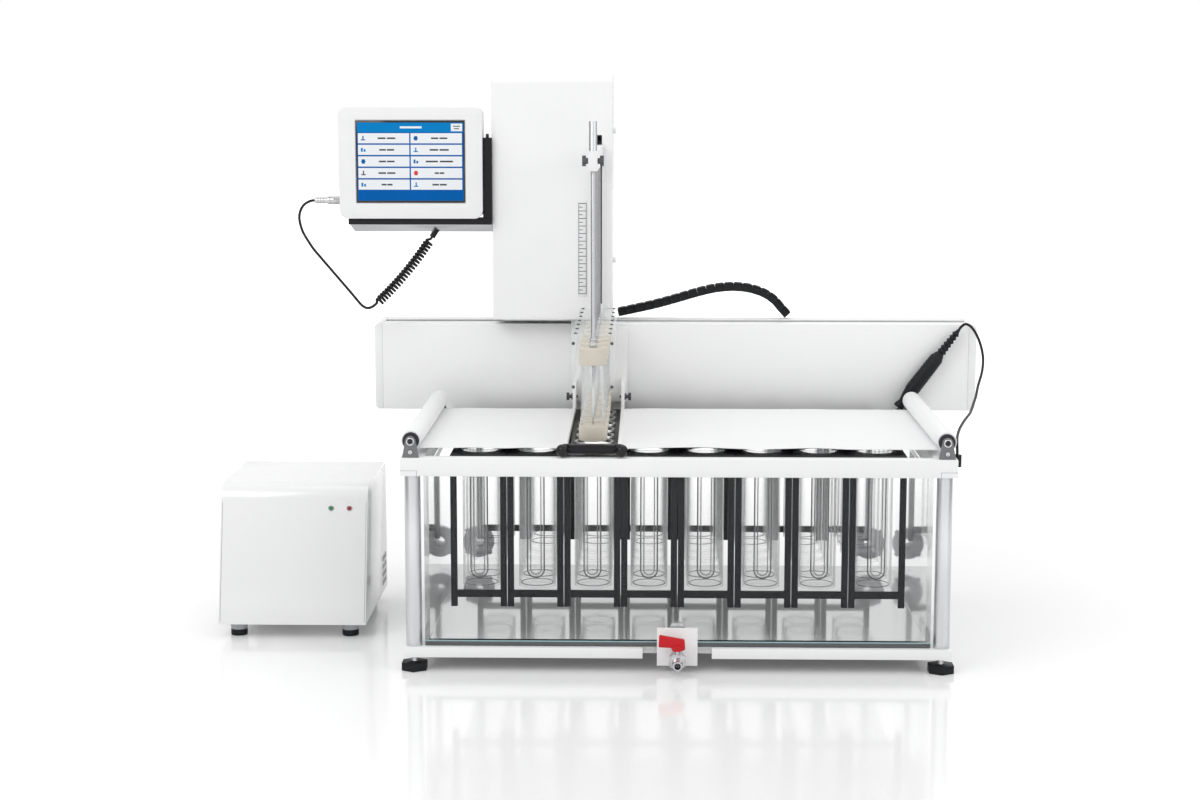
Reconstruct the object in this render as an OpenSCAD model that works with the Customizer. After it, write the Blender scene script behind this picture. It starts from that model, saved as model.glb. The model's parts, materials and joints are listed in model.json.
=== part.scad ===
// Reciprocating-cylinder dissolution tester with a glass bath, roller blinds, a dipping
// tower on a rear beam, a touch display and a separate heater box. Millimetres, +Z up,
// front towards -Y.

/* [Bath frame] */
// Width of the white top frame
frame_w = 732; // [700:1:800]
// Depth of the bath frame
frame_d = 490; // [480:1:520]
// Height of the top frame's upper face over the bench
frame_top = 289; // [280:1:320]
// Height of the top frame's rails
frame_h = 24.5; // [18:0.5:30]
// Width of the top frame's front and rear rails
rail_w = 18; // [14:0.5:18]
// Height of the base frame's underside over the bench
base_z = 20; // [16:0.5:24]
// Height of the base frame's rails
base_h = 13.5; // [10:0.5:16]
// Width of the base frame's rails
base_rail_w = 20; // [14:1:24]
// Width of the gap in the front base rail for the drain valve
base_notch = 92; // [80:1:110]
// Diameter of the corner posts
post_d = 21.5; // [16:0.5:24]
// Distance of the post axes from the frame's outer sides
post_inset = 15; // [13:0.5:16]

/* [Feet] */
// Width across flats of a hexagon foot pad
foot_w = 33; // [26:1:36]
// Height of a foot pad
foot_h = 11; // [8:0.5:12]
// Diameter of a foot's threaded stem
stem_d = 8; // [6:0.5:10]
// Radial clearance of turning stems and screws in their holes
turn_gap = 0.05; // [0.03:0.01:0.1]

/* [Tank] */
// Wall thickness of the clear tank
tank_wall = 6; // [5:0.5:6]
// Gap between the tank and the frame's front face
tank_front = 10; // [6:0.5:10]
// Thickness of the tank floor
tank_floor = 8; // [6:0.5:10]
// Diameter of the bulkhead fittings in the rear wall
fitting_d = 48; // [40:1:52]
// Height of the bulkhead fittings over the bench
fitting_z = 79; // [75:1:110]
// Distance of the bulkhead fittings from the bath's middle
fitting_x = 300; // [285:1:300]

/* [Racks and vessels] */
// Number of rack columns
columns = 8; // [6:1:8]
// Distance between rack columns
column_pitch = 75.5; // [70:0.5:78]
// Number of vessels in a column
rows = 7; // [5:1:7]
// Distance between vessels in a column
row_pitch = 54; // [54:0.5:54.5]
// Distance of the first vessel row from the frame's front face
first_row = 68; // [68:0.5:69]
// Bore of a vessel
vessel_bore = 47; // [44:0.5:47.5]
// Wall thickness of a vessel
vessel_wall = 1.5; // [1:0.1:1.6]
// Length of a vessel below its rim
vessel_h = 186; // [170:1:190]
// Diameter of a vessel's rim
rim_d = 53.4; // [52:0.1:53.5]
// Height of a vessel's rim
rim_h = 3; // [2:0.5:3.5]
// Thickness of a rack's top plate
plate_h = 2; // [1.5:0.5:3]
// Width of a rack's uprights
upright_w = 8.5; // [6:0.5:9]
// Thickness of a rack's uprights
upright_t = 6; // [4:0.5:6]
// Height of the uprights' lower ends over the bench
upright_z = 85.5; // [70:0.5:90]
// Height of a rack's cross bar
cross_h = 9.5; // [8:0.5:12]
// Height of the cross bars' undersides over the bench
cross_z = 98; // [94:0.5:102]
// Outside diameter of the round-bottom guard tubes
guard_tube_d = 24; // [20:0.5:24]
// Length of the round-bottom guard tubes
guard_tube_h = 166; // [150:1:175]

/* [Beam] */
// Length of the rear beam with its end caps
beam_l = 906; // [880:1:940]
// Height of the rear beam
beam_h = 131; // [110:1:140]
// Depth of the rear beam
beam_d = 96; // [90:1:110]
// Distance of the beam's front from the frame's front face
beam_y = 436; // [434:1:440]
// Sheet thickness of the beam's housing
beam_wall = 3; // [2:0.5:4]
// Thickness of the beam's end caps
cap_l = 12; // [8:1:16]
// Width of the slot along the beam's top
beam_slot = 30; // [26:1:36]

/* [Tower] */
// Width of the tower
tower_w = 178; // [170:1:185]
// Depth of the tower
tower_d = 125; // [115:1:135]
// Height of the tower's casing
tower_h = 360; // [350:1:375]
// Gap between the beam's top and the tower
tower_gap = 9; // [8.5:0.5:12]
// Distance of the tower's front from the frame's front face
tower_y = 405; // [402:0.5:408]
// Distance of the dipping line from the tower's right side
dip_inset = 20; // [18:0.5:26]
// Sheet thickness of the tower's casing
tower_wall = 2.5; // [2:0.5:3]
// Width of the vertical slot in the tower's front
slot_w = 9; // [9:0.5:10]
// Rounding of the tower's top edges
tower_round = 12; // [8:1:16]

/* [Lift] */
// Column over which the tower stands at rest, counted from the left
rest_column = 3; // [3:1:3]
// Downward travel of the lift
lift_travel = 180; // [160:1:181]
// Width of the lift arm
arm_w = 12; // [10:0.5:14]
// Height of the lift arm
arm_h = 26; // [20:1:30]
// Height of the lift arm's underside over the bench, raised
arm_z = 662; // [655:1:668]
// Diameter of the dipping rods
rod_d = 6; // [4:0.5:6]
// Diameter of a dipping cylinder's caps
cap_d = 38; // [34:0.5:40]
// Height of a dipping cylinder's lower cap
low_cap_h = 21; // [16:0.5:24]
// Height of a dipping cylinder's upper cap
top_cap_h = 23; // [18:0.5:24]
// Height of the raised dipping cylinders over the bench
cylinder_z = 303; // [302:0.5:305]
// Length of a dipping cylinder with its caps
cylinder_l = 125; // [115:1:128]
// Outside diameter of a dipping cylinder's glass
glass_d = 33; // [28:0.5:34]
// Wall thickness of a dipping cylinder's glass
glass_wall = 1.5; // [1:0.1:2]
// Outside diameter of the lift screw
screw_d = 12; // [10:0.5:14]

/* [Carriage cover] */
// Outside width of the cover frame's slot
hem_w = 77; // [76:0.5:80]
// Width of a hem rail
hem_rail = 5; // [4:0.5:6]
// Height of a hem rail
hem_h = 8; // [6:0.5:9]
// Clearance between the vessel rims and the hem rails
hem_gap = 1.5; // [1:0.5:3]
// Diameter of the ball knobs
knob_d = 17; // [13:0.2:17.4]
// Width of the clear splash guard
shield_w = 57; // [54:0.5:58]
// Sheet thickness of the splash guard
shield_t = 3; // [2:0.5:3]
// Height of the splash guard's lower edge over the bench
shield_z = 361; // [350:1:370]
// Height of the splash guard
shield_h = 86; // [80:1:90]

/* [Blinds] */
// Diameter of a wound blind roller
roller_d = 26; // [22:0.5:26]
// Length of a blind roller
roller_l = 392; // [370:1:396]
// Distance of the roller axes from the bath's middle
roller_x = 352; // [350:0.5:354]
// Height of the roller axes over the top frame
roller_lift = 21.5; // [21:0.5:23]
// Thickness of the blind cloth
cloth_t = 1; // [0.6:0.1:1.2]
// Thickness of a roller bracket
bracket_t = 5; // [4:0.5:6]

/* [Display] */
// Width of the display housing
display_w = 211; // [200:1:220]
// Height of the display housing
display_h = 163; // [150:1:170]
// Depth of the display housing
display_d = 36; // [30:1:40]
// Width of the screen glass
screen_w = 162; // [150:1:166]
// Height of the screen glass
screen_h = 122; // [112:1:126]
// Gap between the display housing and the tower
display_gap = 13; // [12:0.5:16]
// Height of the display's underside over the bench
display_z = 580; // [575:1:585]

/* [Drag chain] */
// Height of a chain link
link_h = 12; // [10:0.5:14]
// Width of a chain link
link_w = 16; // [12:0.5:18]
// Length of the chain's arch
chain_l = 268; // [240:1:280]
// Rise of the chain's arch over the beam
chain_rise = 44; // [38:1:48]

/* [Drain valve] */
// Width of the valve's mounting plate
valve_plate_w = 54; // [48:1:60]
// Outside diameter of the hose nozzle
nozzle_d = 12.6; // [10:0.2:14]
// Bore of the hose nozzle
nozzle_bore = 8.4; // [6:0.2:9]
// Length of the hose nozzle
nozzle_l = 22; // [18:1:24]

/* [Heater box] */
// Width of the heater box
heater_w = 209; // [190:1:215]
// Depth of the heater box at its foot
heater_d = 252; // [240:1:270]
// Height of the heater box's casing
heater_h = 193; // [180:1:200]
// Height of the heater box's feet
heater_foot_h = 20; // [16:0.5:24]
// Distance between the heater box and the bath frame
heater_gap = 71; // [60:1:90]
// Backward lean of the heater box's front at its top
heater_lean = 42; // [30:1:50]
// Rounding between the heater box's front and its top
heater_round = 26; // [18:1:30]
// Wall thickness of the heater box's casing
heater_wall = 3; // [2:0.5:4]

/* [Cords] */
// Diameter of the display and probe cords
cord_d = 4; // [3.6:0.1:4.2]
// Number of curls in the display cord
curls = 24; // [18:1:24]
// Outside diameter of the curls
curl_d = 15.6; // [14:0.2:16]

/* [Hidden] */
$fn = 48;
eps = 0.01;
seat_gap = 0.3;
half_w = frame_w / 2;
frame_z = frame_top - frame_h;
base_top = base_z + base_h;
post_x = half_w - post_inset;
tank_x = half_w - 2 * post_inset;
tank_rear = frame_d - 14;
floor_top = base_top + tank_floor;
plate_z = frame_top - 1;
plate_top = plate_z + plate_h;
rim_top = plate_top + rim_h;
vessel_d = vessel_bore + 2 * vessel_wall;
rack_w = column_pitch - 1;
rack_y0 = rail_w;
rack_y1 = frame_d - rail_w;
plate_y1 = min(beam_y - 1, rack_y1);
upright_y0 = max(tank_front + tank_wall + 1, rail_w);
fitting_l = 10;
upright_y1 = tank_rear - tank_wall - fitting_l - 4;
column_x = [for (i = [0:columns - 1]) (i - (columns - 1) / 2) * column_pitch];
row_y = [for (i = [0:rows - 1]) first_row + i * row_pitch];
guard_tube_y = upright_y0 + seat_gap + guard_tube_d / 2;
dip_x = column_x[rest_column - 1];
beam_top = frame_top + beam_h;
beam_rear = beam_y + beam_d;
slot_y = beam_y + beam_d / 2;
tower_z = beam_top + tower_gap;
tower_top = tower_z + tower_h;
tower_x1 = dip_x + dip_inset;
tower_x0 = tower_x1 - tower_w;
tower_rear = tower_y + tower_d;
screw_y = tower_y + 50;
neck_z = cylinder_z + cylinder_l;
hem_z = rim_top + hem_gap;
hem_x = hem_w / 2;
hem_front = 20;
bar_y = 8;
roller_z = frame_top + roller_lift;
roller_y0 = 8;
cloth_z = roller_z - roller_d / 2 - seat_gap - cloth_t;
cloth_y0 = 34;
cloth_y1 = roller_l;
display_x1 = tower_x0 - display_gap;
display_x0 = display_x1 - display_w;
display_y = tower_y - 18;
shelf_h = 9;
bar_h = 11;
bar_z = display_z - shelf_h - bar_h;
cord_y = display_y + 18;
valve_z = 20;
valve_y = -13;
nozzle_y = -18;
heater_x1 = -half_w - heater_gap;
heater_x0 = heater_x1 - heater_w;
heater_y0 = 170;
heater_y1 = heater_y0 + heater_d;
heater_top = heater_foot_h + heater_h;
outlet_l = 25;
outlet_d = 16;

// The box's middle on the bench, from the heater's left side to the beam's right end
// and from the nozzle's tip to the beam's rear
middle_x = (heater_x0 + beam_l / 2) / 2;
middle_y = (nozzle_y - nozzle_l + beam_rear) / 2;

// Route of the display cord from its plug to the curls, in the display's own plane
// and from the display's lower left corner
display_corner = [display_x0, display_z];
display_route = [for (p = [
    [-38.75, 26], [-45.75, 25], [-54.75, 20], [-60.75, 11], [-62.75, 0], [-60.75, -12],
    [-56.75, -23], [-49.75, -35], [-41.75, -47], [-31.75, -59], [-20.75, -72], [-9.75, -85],
    [1.25, -98], [12.25, -111], [21.25, -122], [28.25, -130], [35.25, -134], [42.25, -133],
    [48.25, -129]]) display_corner + p];
// Control points of the curls' middle line, ending under the display's bar
curl_axis = [for (p = [[48.25, -129], [78.25, -103], [111.25, -64], [134.25, -28]])
    display_corner + p];
// Foot, lean and length of the probe, whose upper end starts its cable
probe_tip = [tank_x - 3, beam_y - 12, frame_top + 3];
probe_lean = 37;
probe_l = 152;
probe_way = [sin(probe_lean), 0, cos(probe_lean)];
// Route of the probe's cable from its strain relief to its socket
probe_route = concat(
    [probe_tip + probe_l * probe_way, probe_tip + (probe_l + 6) * probe_way],
    [for (p = [
        [68, 423, 133], [76, 421, 129], [84, 416, 117], [89, 405, 101], [90, 390, 85],
        [86, 370, 70], [80, 350, 60], [74, 330, 52], [67, 300, 42], [59, 270, 35],
        [48, 225, 29], [38, 195, 26], [28, 165, 22], [20, 138, 18], [14, 112, 13],
        [11, 92, 8], [10, 84, 3], [10, 82, -2], [10, 82, -7]])
        [half_w + p[0], p[1], frame_top + p[2]]]);
probe_socket = probe_route[len(probe_route) - 1];

function unit(v) = v / norm(v);
function bezier(p, t) =
    p[0] * pow(1 - t, 3) + 3 * p[1] * t * pow(1 - t, 2) + 3 * p[2] * t * t * (1 - t)
    + p[3] * pow(t, 3);
function tangents(p) = [
    for (i = [0:len(p) - 1]) unit(p[min(i + 1, len(p) - 1)] - p[max(i - 1, 0)])];
function square_to(u, t) = unit(u - t * (u * t));
function side_of(t) = abs(t[1]) < 0.9 ? square_to([0, 1, 0], t) : square_to([1, 0, 0], t);
function normals(t) = [
    for (i = 0, u = side_of(t[0]); i < len(t);
         u = square_to(u, t[min(i + 1, len(t) - 1)]), i = i + 1) u];
function arc(c, r, a0, a1, n) = [
    for (i = [0:n]) let (a = a0 + (a1 - a0) * i / n) c + r * [cos(a), sin(a)]];
// Extra points on a smooth curve through a route, two in each stretch
function smooth(p) = concat([
    for (i = [0:len(p) - 2], k = [0:1])
        let (a = p[max(i - 1, 0)], b = p[i], c = p[i + 1], d = p[min(i + 2, len(p) - 1)])
        let (t = k / 2)
        b + 0.5 * t * (c - a) + t * t * (a - 2.5 * b + 2 * c - 0.5 * d)
        + t * t * t * (1.5 * (b - c) + 0.5 * (d - a))], [p[len(p) - 1]]);

// A closed tube of a given radius and number of sides along a list of points
module tube(p, r, sides) {
    t = tangents(p);
    u = normals(t);
    last = (len(p) - 1) * sides;
    polyhedron(
        points = [for (i = [0:len(p) - 1], j = [0:sides - 1])
            let (a = 360 * j / sides)
            p[i] + r * (cos(a) * u[i] + sin(a) * cross(t[i], u[i]))],
        faces = concat(
            [for (i = [0:len(p) - 2], j = [0:sides - 1])
                [i * sides + j, (i + 1) * sides + (j + 1) % sides, i * sides + (j + 1) % sides]],
            [for (i = [0:len(p) - 2], j = [0:sides - 1])
                [i * sides + j, (i + 1) * sides + j, (i + 1) * sides + (j + 1) % sides]],
            [for (j = [1:sides - 2]) [0, j, j + 1]],
            [for (j = [1:sides - 2]) [last, last + j + 1, last + j]]));
}

module place() {
    translate([-middle_x, -middle_y, 0]) children();
}

// A box given by its two corners
module block(a, b) {
    translate(a) cube(b - a);
}

// A cylinder along -Y from a point
module along_y(p, d, l) {
    translate(p) rotate([90, 0, 0]) cylinder(d = d, h = l);
}

// A cylinder along +X from a point
module along_x(p, d, l) {
    translate(p) rotate([0, 90, 0]) cylinder(d = d, h = l);
}

// Four rails round an opening, butted at the corners
module rails(x, z0, z1, front, side) {
    block([-x, 0, z0], [x, front, z1]);
    block([-x, frame_d - front, z0], [x, frame_d, z1]);
    for (s = [0, 1])
        mirror([s, 0, 0]) block([x - side, front, z0], [x, frame_d - front, z1]);
}

module at_posts() {
    for (x = [-post_x, post_x], y = [post_inset, frame_d - post_inset])
        translate([x, y, 0]) children();
}

module base_frame() {
    color("gainsboro") place() difference() {
        rails(half_w - 2, base_z, base_top, base_rail_w, 2 * post_inset - 2);
        block([-base_notch / 2, -1, base_z - 1],
              [base_notch / 2, base_rail_w + 1, base_top + 1]);
        at_posts() translate([0, 0, base_z - 1])
            cylinder(d = stem_d + 2 * turn_gap, h = base_h);
    }
}

module base_plate() {
    color("silver") place()
        block([-tank_x, base_rail_w, base_z + 2], [tank_x, frame_d - base_rail_w, base_top]);
}

module corner_posts() {
    color("lightgray") place() at_posts()
        translate([0, 0, base_top]) cylinder(d = post_d, h = frame_z - base_top);
}

module foot(i) {
    x = [-post_x, post_x][i % 2];
    y = i < 2 ? post_inset : frame_d - post_inset;
    color([0.1, 0.1, 0.1]) place() translate([x, y, 0]) {
        rotate(30) cylinder(d = foot_w / cos(30), h = foot_h, $fn = 6);
        translate([0, 0, foot_h - eps]) cylinder(d = stem_d, h = base_z + base_h - 3 - foot_h);
    }
}

module top_frame() {
    color("white") place() rails(half_w, frame_z, frame_top, rail_w, 2 * post_inset);
}

module tank() {
    color([0.85, 0.95, 0.95, 0.35]) place() {
        block([-tank_x, tank_front, base_top], [tank_x, tank_rear, floor_top]);
        block([-tank_x, tank_front, floor_top], [tank_x, tank_front + tank_wall, frame_z]);
        difference() {
            block([-tank_x, tank_rear - tank_wall, floor_top], [tank_x, tank_rear, frame_z]);
            for (x = [-fitting_x, fitting_x])
                along_y([x, tank_rear + 1, fitting_z], fitting_d / 2 + 2 * turn_gap, tank_wall + 2);
        }
        for (s = [0, 1])
            mirror([s, 0, 0])
                block([tank_x - tank_wall, tank_front + tank_wall, floor_top],
                      [tank_x, tank_rear - tank_wall, frame_z]);
    }
}

module bulkhead_fittings() {
    lug_l = 6;
    color("gray") place()
        for (x = [-fitting_x, fitting_x]) {
            inner = [x, tank_rear - tank_wall, fitting_z];
            difference() {
                union() {
                    along_y(inner, fitting_d, fitting_l);
                    for (a = [45:90:315])
                        translate(inner) rotate([90, 0, 0]) rotate(a)
                            translate([fitting_d / 2 - lug_l / 2, -lug_l / 2, fitting_l / 4])
                                cube([lug_l, lug_l, fitting_l / 2]);
                    along_y([x, tank_rear, fitting_z], fitting_d / 2, tank_wall + eps);
                    along_y([x, tank_rear + outlet_l, fitting_z], outlet_d + 4, outlet_l + eps);
                }
                along_y([x, tank_rear + outlet_l + 1, fitting_z], outlet_d,
                        outlet_l + tank_wall + fitting_l + 2);
            }
        }
}

// The racks: each has four uprights, two cross bars and two side rails under its plate
module racks() {
    ux = rack_w / 2 - upright_w;
    color([0.08, 0.09, 0.1]) place() for (cx = column_x) {
        for (s = [-1, 1], y = [upright_y0, upright_y1 - upright_t])
            translate([cx + s * (ux + upright_w / 2) - upright_w / 2, y, upright_z])
                cube([upright_w, upright_t, plate_z - hem_h - upright_z]);
        for (y = [upright_y0, upright_y1 - upright_t])
            translate([cx - ux, y, cross_z]) cube([2 * ux, upright_t, cross_h]);
        for (s = [-1, 1])
            translate([cx + s * (ux + upright_w / 2) - upright_w / 2, rack_y0, plate_z - hem_h])
                cube([upright_w, rack_y1 - rack_y0, hem_h]);
    }
}

module rack_plates() {
    color([0.08, 0.09, 0.1]) place()
        for (cx = column_x)
            difference() {
                block([cx - rack_w / 2, rack_y0, plate_z], [cx + rack_w / 2, plate_y1, plate_top]);
                for (y = row_y)
                    translate([cx, y, plate_z - 1])
                        cylinder(d = vessel_d + 2 * seat_gap, h = plate_h + 2);
            }
}

// Flat-bottom glass vessels of one column, hung by their rims on the plate
module vessels(i) {
    color([0.9, 0.95, 0.97, 0.3]) place()
        for (y = row_y)
            translate([column_x[i], y, plate_top - vessel_h]) difference() {
                union() {
                    cylinder(d = vessel_d, h = vessel_h + rim_h);
                    translate([0, 0, vessel_h]) cylinder(d = rim_d, h = rim_h);
                }
                translate([0, 0, 2 * vessel_wall])
                    cylinder(d = vessel_bore, h = vessel_h + rim_h);
            }
}

// Round-bottom glass tubes behind the front wall, hung under the plates
module guard_tubes() {
    r = guard_tube_d / 2;
    color([0.9, 0.95, 0.97, 0.3]) place()
        for (cx = column_x)
            translate([cx, guard_tube_y, plate_z - guard_tube_h]) difference() {
                union() {
                    translate([0, 0, r]) cylinder(r = r, h = guard_tube_h - r);
                    translate([0, 0, r]) sphere(r = r);
                }
                translate([0, 0, r]) cylinder(r = r - vessel_wall, h = guard_tube_h);
            }
}

module beam_housing() {
    x = beam_l / 2 - cap_l;
    color("white") place() difference() {
        block([-x, beam_y, frame_top], [x, beam_rear, beam_top]);
        block([-x - 1, beam_y + beam_wall, frame_top + beam_wall],
              [x + 1, beam_rear - beam_wall, beam_top - beam_wall]);
        block([-x - 1, slot_y - beam_slot / 2, beam_top - 2 * beam_wall],
              [x + 1, slot_y + beam_slot / 2, beam_top + 1]);
    }
}

module beam_end_caps() {
    edge = 5;
    color("white") place()
        for (s = [0, 1])
            mirror([s, 0, 0]) translate([0, beam_rear, 0]) rotate([90, 0, 0])
                linear_extrude(beam_d) polygon([
                    [beam_l / 2 - cap_l, frame_top], [beam_l / 2 - edge, frame_top],
                    [beam_l / 2, frame_top + edge], [beam_l / 2, beam_top - edge],
                    [beam_l / 2 - edge, beam_top], [beam_l / 2 - cap_l, beam_top]]);
}

rail_size = [14, 30];
rail_z = frame_top + beam_wall + rail_size[1];

module beam_rail() {
    x = beam_l / 2 - cap_l;
    color("silver") place()
        block([-x, slot_y - rail_size[0] / 2, frame_top + beam_wall],
              [x, slot_y + rail_size[0] / 2, rail_z]);
}

module drive_motor() {
    motor = 40;
    x = beam_l / 2 - cap_l - 2;
    color([0.2, 0.2, 0.22]) place()
        block([x - motor, beam_y + beam_wall, frame_top + beam_wall],
              [x, slot_y - rail_size[0] / 2 - 1, frame_top + beam_wall + motor]);
}

// Runner on the rail, with its neck through the beam's slot and the tower's foot plate
module carriage_runner() {
    x0 = tower_x0 + 30;
    x1 = tower_x1 - 10;
    cheek = 12;
    rail_half = rail_size[0] / 2 + seat_gap;
    color("lightgray") place() {
        block([x0, slot_y - rail_half - cheek, rail_z + seat_gap],
              [x1, slot_y + rail_half + cheek, rail_z + 20]);
        for (s = [0, 1])
            translate([0, slot_y, 0]) mirror([0, s, 0])
                block([x0, rail_half, rail_z - 15], [x1, rail_half + cheek, rail_z + seat_gap]);
        block([x0, slot_y - beam_slot / 2 + 3, rail_z + 20],
              [x1, slot_y + beam_slot / 2 - 3, beam_top + 1]);
        block([x0 - 20, slot_y - 34, beam_top + 1], [x1, tower_rear - tower_wall - 2, tower_z]);
    }
}

// Plate down the beam's front with two side brackets that carry the cover's hem rails
module carriage_plate() {
    t = 6;
    y1 = beam_y - 2;
    side_y = y1 - 50;
    color("white") place() {
        block([dip_x - hem_x - 4, y1 - t, hem_z + hem_h], [tower_x1, y1, tower_z]);
        block([tower_x1 - eps, y1 - t, hem_z + hem_h], [dip_x + hem_x + 4, y1, beam_top - 4]);
        for (s = [0, 1])
            translate([dip_x, 0, 0]) mirror([s, 0, 0]) difference() {
                block([hem_x - hem_rail, side_y, hem_z + hem_h],
                      [hem_x, y1 - t, hem_z + hem_h + 34]);
                along_x([hem_x - hem_rail - 1, side_y + 16, hem_z + hem_h + 12],
                        stem_d / 2 + 2 * turn_gap, hem_rail + 2);
            }
    }
}

// Knurled screw through a side bracket, head outside
module thumb_screw(s) {
    head_d = 11;
    head_l = 9;
    side_y = beam_y - 52;
    color([0.25, 0.25, 0.27]) place() translate([dip_x, 0, 0]) mirror([1 - s, 0, 0]) {
        along_x([hem_x, side_y + 16, hem_z + hem_h + 12], head_d, head_l);
        along_x([hem_x - hem_rail - 2, side_y + 16, hem_z + hem_h + 12], stem_d / 2,
                hem_rail + 2 + eps);
    }
}

module tower_casing() {
    inner_round = tower_round - tower_wall;
    slot_z0 = arm_z - lift_travel - 29;
    slot_z1 = arm_z + arm_h + 14;
    color("white") place() difference() {
        translate([tower_x0, 0, 0]) rotate([90, 0, 90]) linear_extrude(tower_w)
            polygon(concat(
                [[tower_rear, tower_z], [tower_rear, tower_top]],
                arc([tower_y + tower_round, tower_top - tower_round], tower_round, 90, 180, 10),
                [[tower_y, tower_z]]));
        translate([tower_x0 + tower_wall, 0, 0]) rotate([90, 0, 90])
            linear_extrude(tower_w - 2 * tower_wall)
                polygon(concat(
                    [[tower_rear - tower_wall, tower_z - 1],
                     [tower_rear - tower_wall, tower_top - tower_wall]],
                    arc([tower_y + tower_round, tower_top - tower_round], inner_round, 90, 180, 10),
                    [[tower_y + tower_wall, tower_z - 1]]));
        block([dip_x - slot_w / 2, tower_y - 1, slot_z0],
              [dip_x + slot_w / 2, tower_y + tower_wall + 1, slot_z1]);
    }
}

module scale_plate() {
    color("whitesmoke") place()
        block([dip_x - 31, tower_y - 1.2, arm_z - lift_travel - 18],
              [dip_x - 17.5, tower_y, arm_z - 56]);
}

module lift_motor() {
    motor = 32;
    color([0.2, 0.2, 0.22]) place()
        block([dip_x - motor / 2, screw_y - motor / 2, tower_top - tower_wall - 60],
              [dip_x + motor / 2, screw_y + motor / 2, tower_top - tower_wall]);
}

module lift_screw() {
    color("silver") place() translate([dip_x, screw_y, tower_z])
        cylinder(d = screw_d, h = tower_h - tower_wall - 60);
}

// Arm over all rows, with its tongue through the tower's slot and the nut on the screw
module lift_arm() {
    tongue = slot_w - 2;
    nut = [30, 36, 40];
    front = first_row - rod_d - 8;
    stub_l = 39;
    color("whitesmoke") place() {
        difference() {
            block([dip_x - arm_w / 2, front, arm_z],
                  [dip_x + arm_w / 2, tower_y - 2, arm_z + arm_h]);
            for (y = row_y)
                translate([dip_x, y, arm_z - 1])
                    cylinder(d = rod_d + 2 * turn_gap, h = arm_h - 4);
            for (s = [0, 1])
                translate([dip_x, first_row, arm_z + arm_h / 2]) mirror([s, 0, 0])
                    along_x([rod_d / 2, 0, 0], rod_d / 2 + 2 * turn_gap, arm_w);
        }
        block([dip_x - tongue / 2, tower_y - 2, arm_z],
              [dip_x + tongue / 2, screw_y - nut[1] / 2, arm_z + arm_h]);
        difference() {
            block([dip_x - nut[0] / 2, screw_y - nut[1] / 2, arm_z - 7],
                  [dip_x + nut[0] / 2, screw_y + nut[1] / 2, arm_z - 7 + nut[2]]);
            translate([dip_x, screw_y, arm_z - 8])
                cylinder(d = screw_d + 2 * turn_gap, h = nut[2] + 2);
        }
        translate([dip_x, first_row, arm_z + arm_h]) difference() {
            cylinder(d = 10.8, h = stub_l);
            translate([0, 0, 2]) cylinder(d = 8, h = stub_l);
        }
    }
}

module arm_screw(s) {
    head_l = 8;
    color([0.2, 0.2, 0.22]) place()
        translate([dip_x, first_row, arm_z + arm_h / 2]) mirror([1 - s, 0, 0]) {
            along_x([rod_d / 2 + 1, 0, 0], rod_d / 2, arm_w / 2 - rod_d / 2);
            along_x([arm_w / 2 + seat_gap, 0, 0], rod_d + 2, head_l);
            translate([arm_w / 2 + seat_gap + 3, -1, -7]) cube([head_l - 3, 2, 14]);
        }
}

module dip_rods() {
    neck_d = 9;
    neck_l = 12;
    color("silver") place()
        for (y = row_y)
            translate([dip_x, y, 0]) {
                translate([0, 0, neck_z]) cylinder(d = neck_d, h = neck_l);
                translate([0, 0, neck_z + neck_l - eps])
                    cylinder(d = rod_d, h = arm_z + arm_h - 5 - neck_z - neck_l + eps);
                translate([0, 0, cylinder_z + low_cap_h])
                    cylinder(d = rod_d / 2, h = cylinder_l - low_cap_h - top_cap_h);
            }
}

module cylinder_caps() {
    color([0.85, 0.81, 0.74]) place()
        for (y = row_y)
            translate([dip_x, y, cylinder_z]) {
                cylinder(d = cap_d, h = low_cap_h);
                translate([0, 0, cylinder_l - top_cap_h]) cylinder(d = cap_d, h = top_cap_h);
            }
}

module cylinder_glass() {
    color([0.9, 0.95, 0.97, 0.3]) place()
        for (y = row_y)
            translate([dip_x, y, cylinder_z + low_cap_h]) difference() {
                cylinder(d = glass_d, h = cylinder_l - low_cap_h - top_cap_h);
                translate([0, 0, -1]) cylinder(d = glass_d - 2 * glass_wall, h = cylinder_l);
            }
}

module cover_hem() {
    color("white") place()
        for (s = [0, 1])
            translate([dip_x, 0, 0]) mirror([s, 0, 0])
                block([hem_x - hem_rail, hem_front, hem_z], [hem_x, beam_y - 8, hem_z + hem_h]);
}

// Front bar with a ball knob on a short pin at each end
module cover_bar() {
    back_t = 6;
    pin_d = 5;
    knob_x = hem_x + 0.5;
    knob_y = bar_y - 2;
    bar_half = knob_x - knob_d / 2 - 1;
    color([0.06, 0.06, 0.07]) place() translate([dip_x, 0, 0]) {
        block([-bar_half, bar_y, hem_z], [bar_half, hem_front, hem_z + 11]);
        block([-hem_x, hem_front - back_t, hem_z], [hem_x, hem_front, hem_z + 11]);
        for (s = [0, 1])
            translate([0, knob_y, hem_z + 4]) mirror([s, 0, 0]) {
                translate([knob_x, 0, 0]) sphere(d = knob_d);
                along_x([bar_half - 1, pin_d, 0], pin_d, knob_x - bar_half);
            }
    }
}

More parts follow.
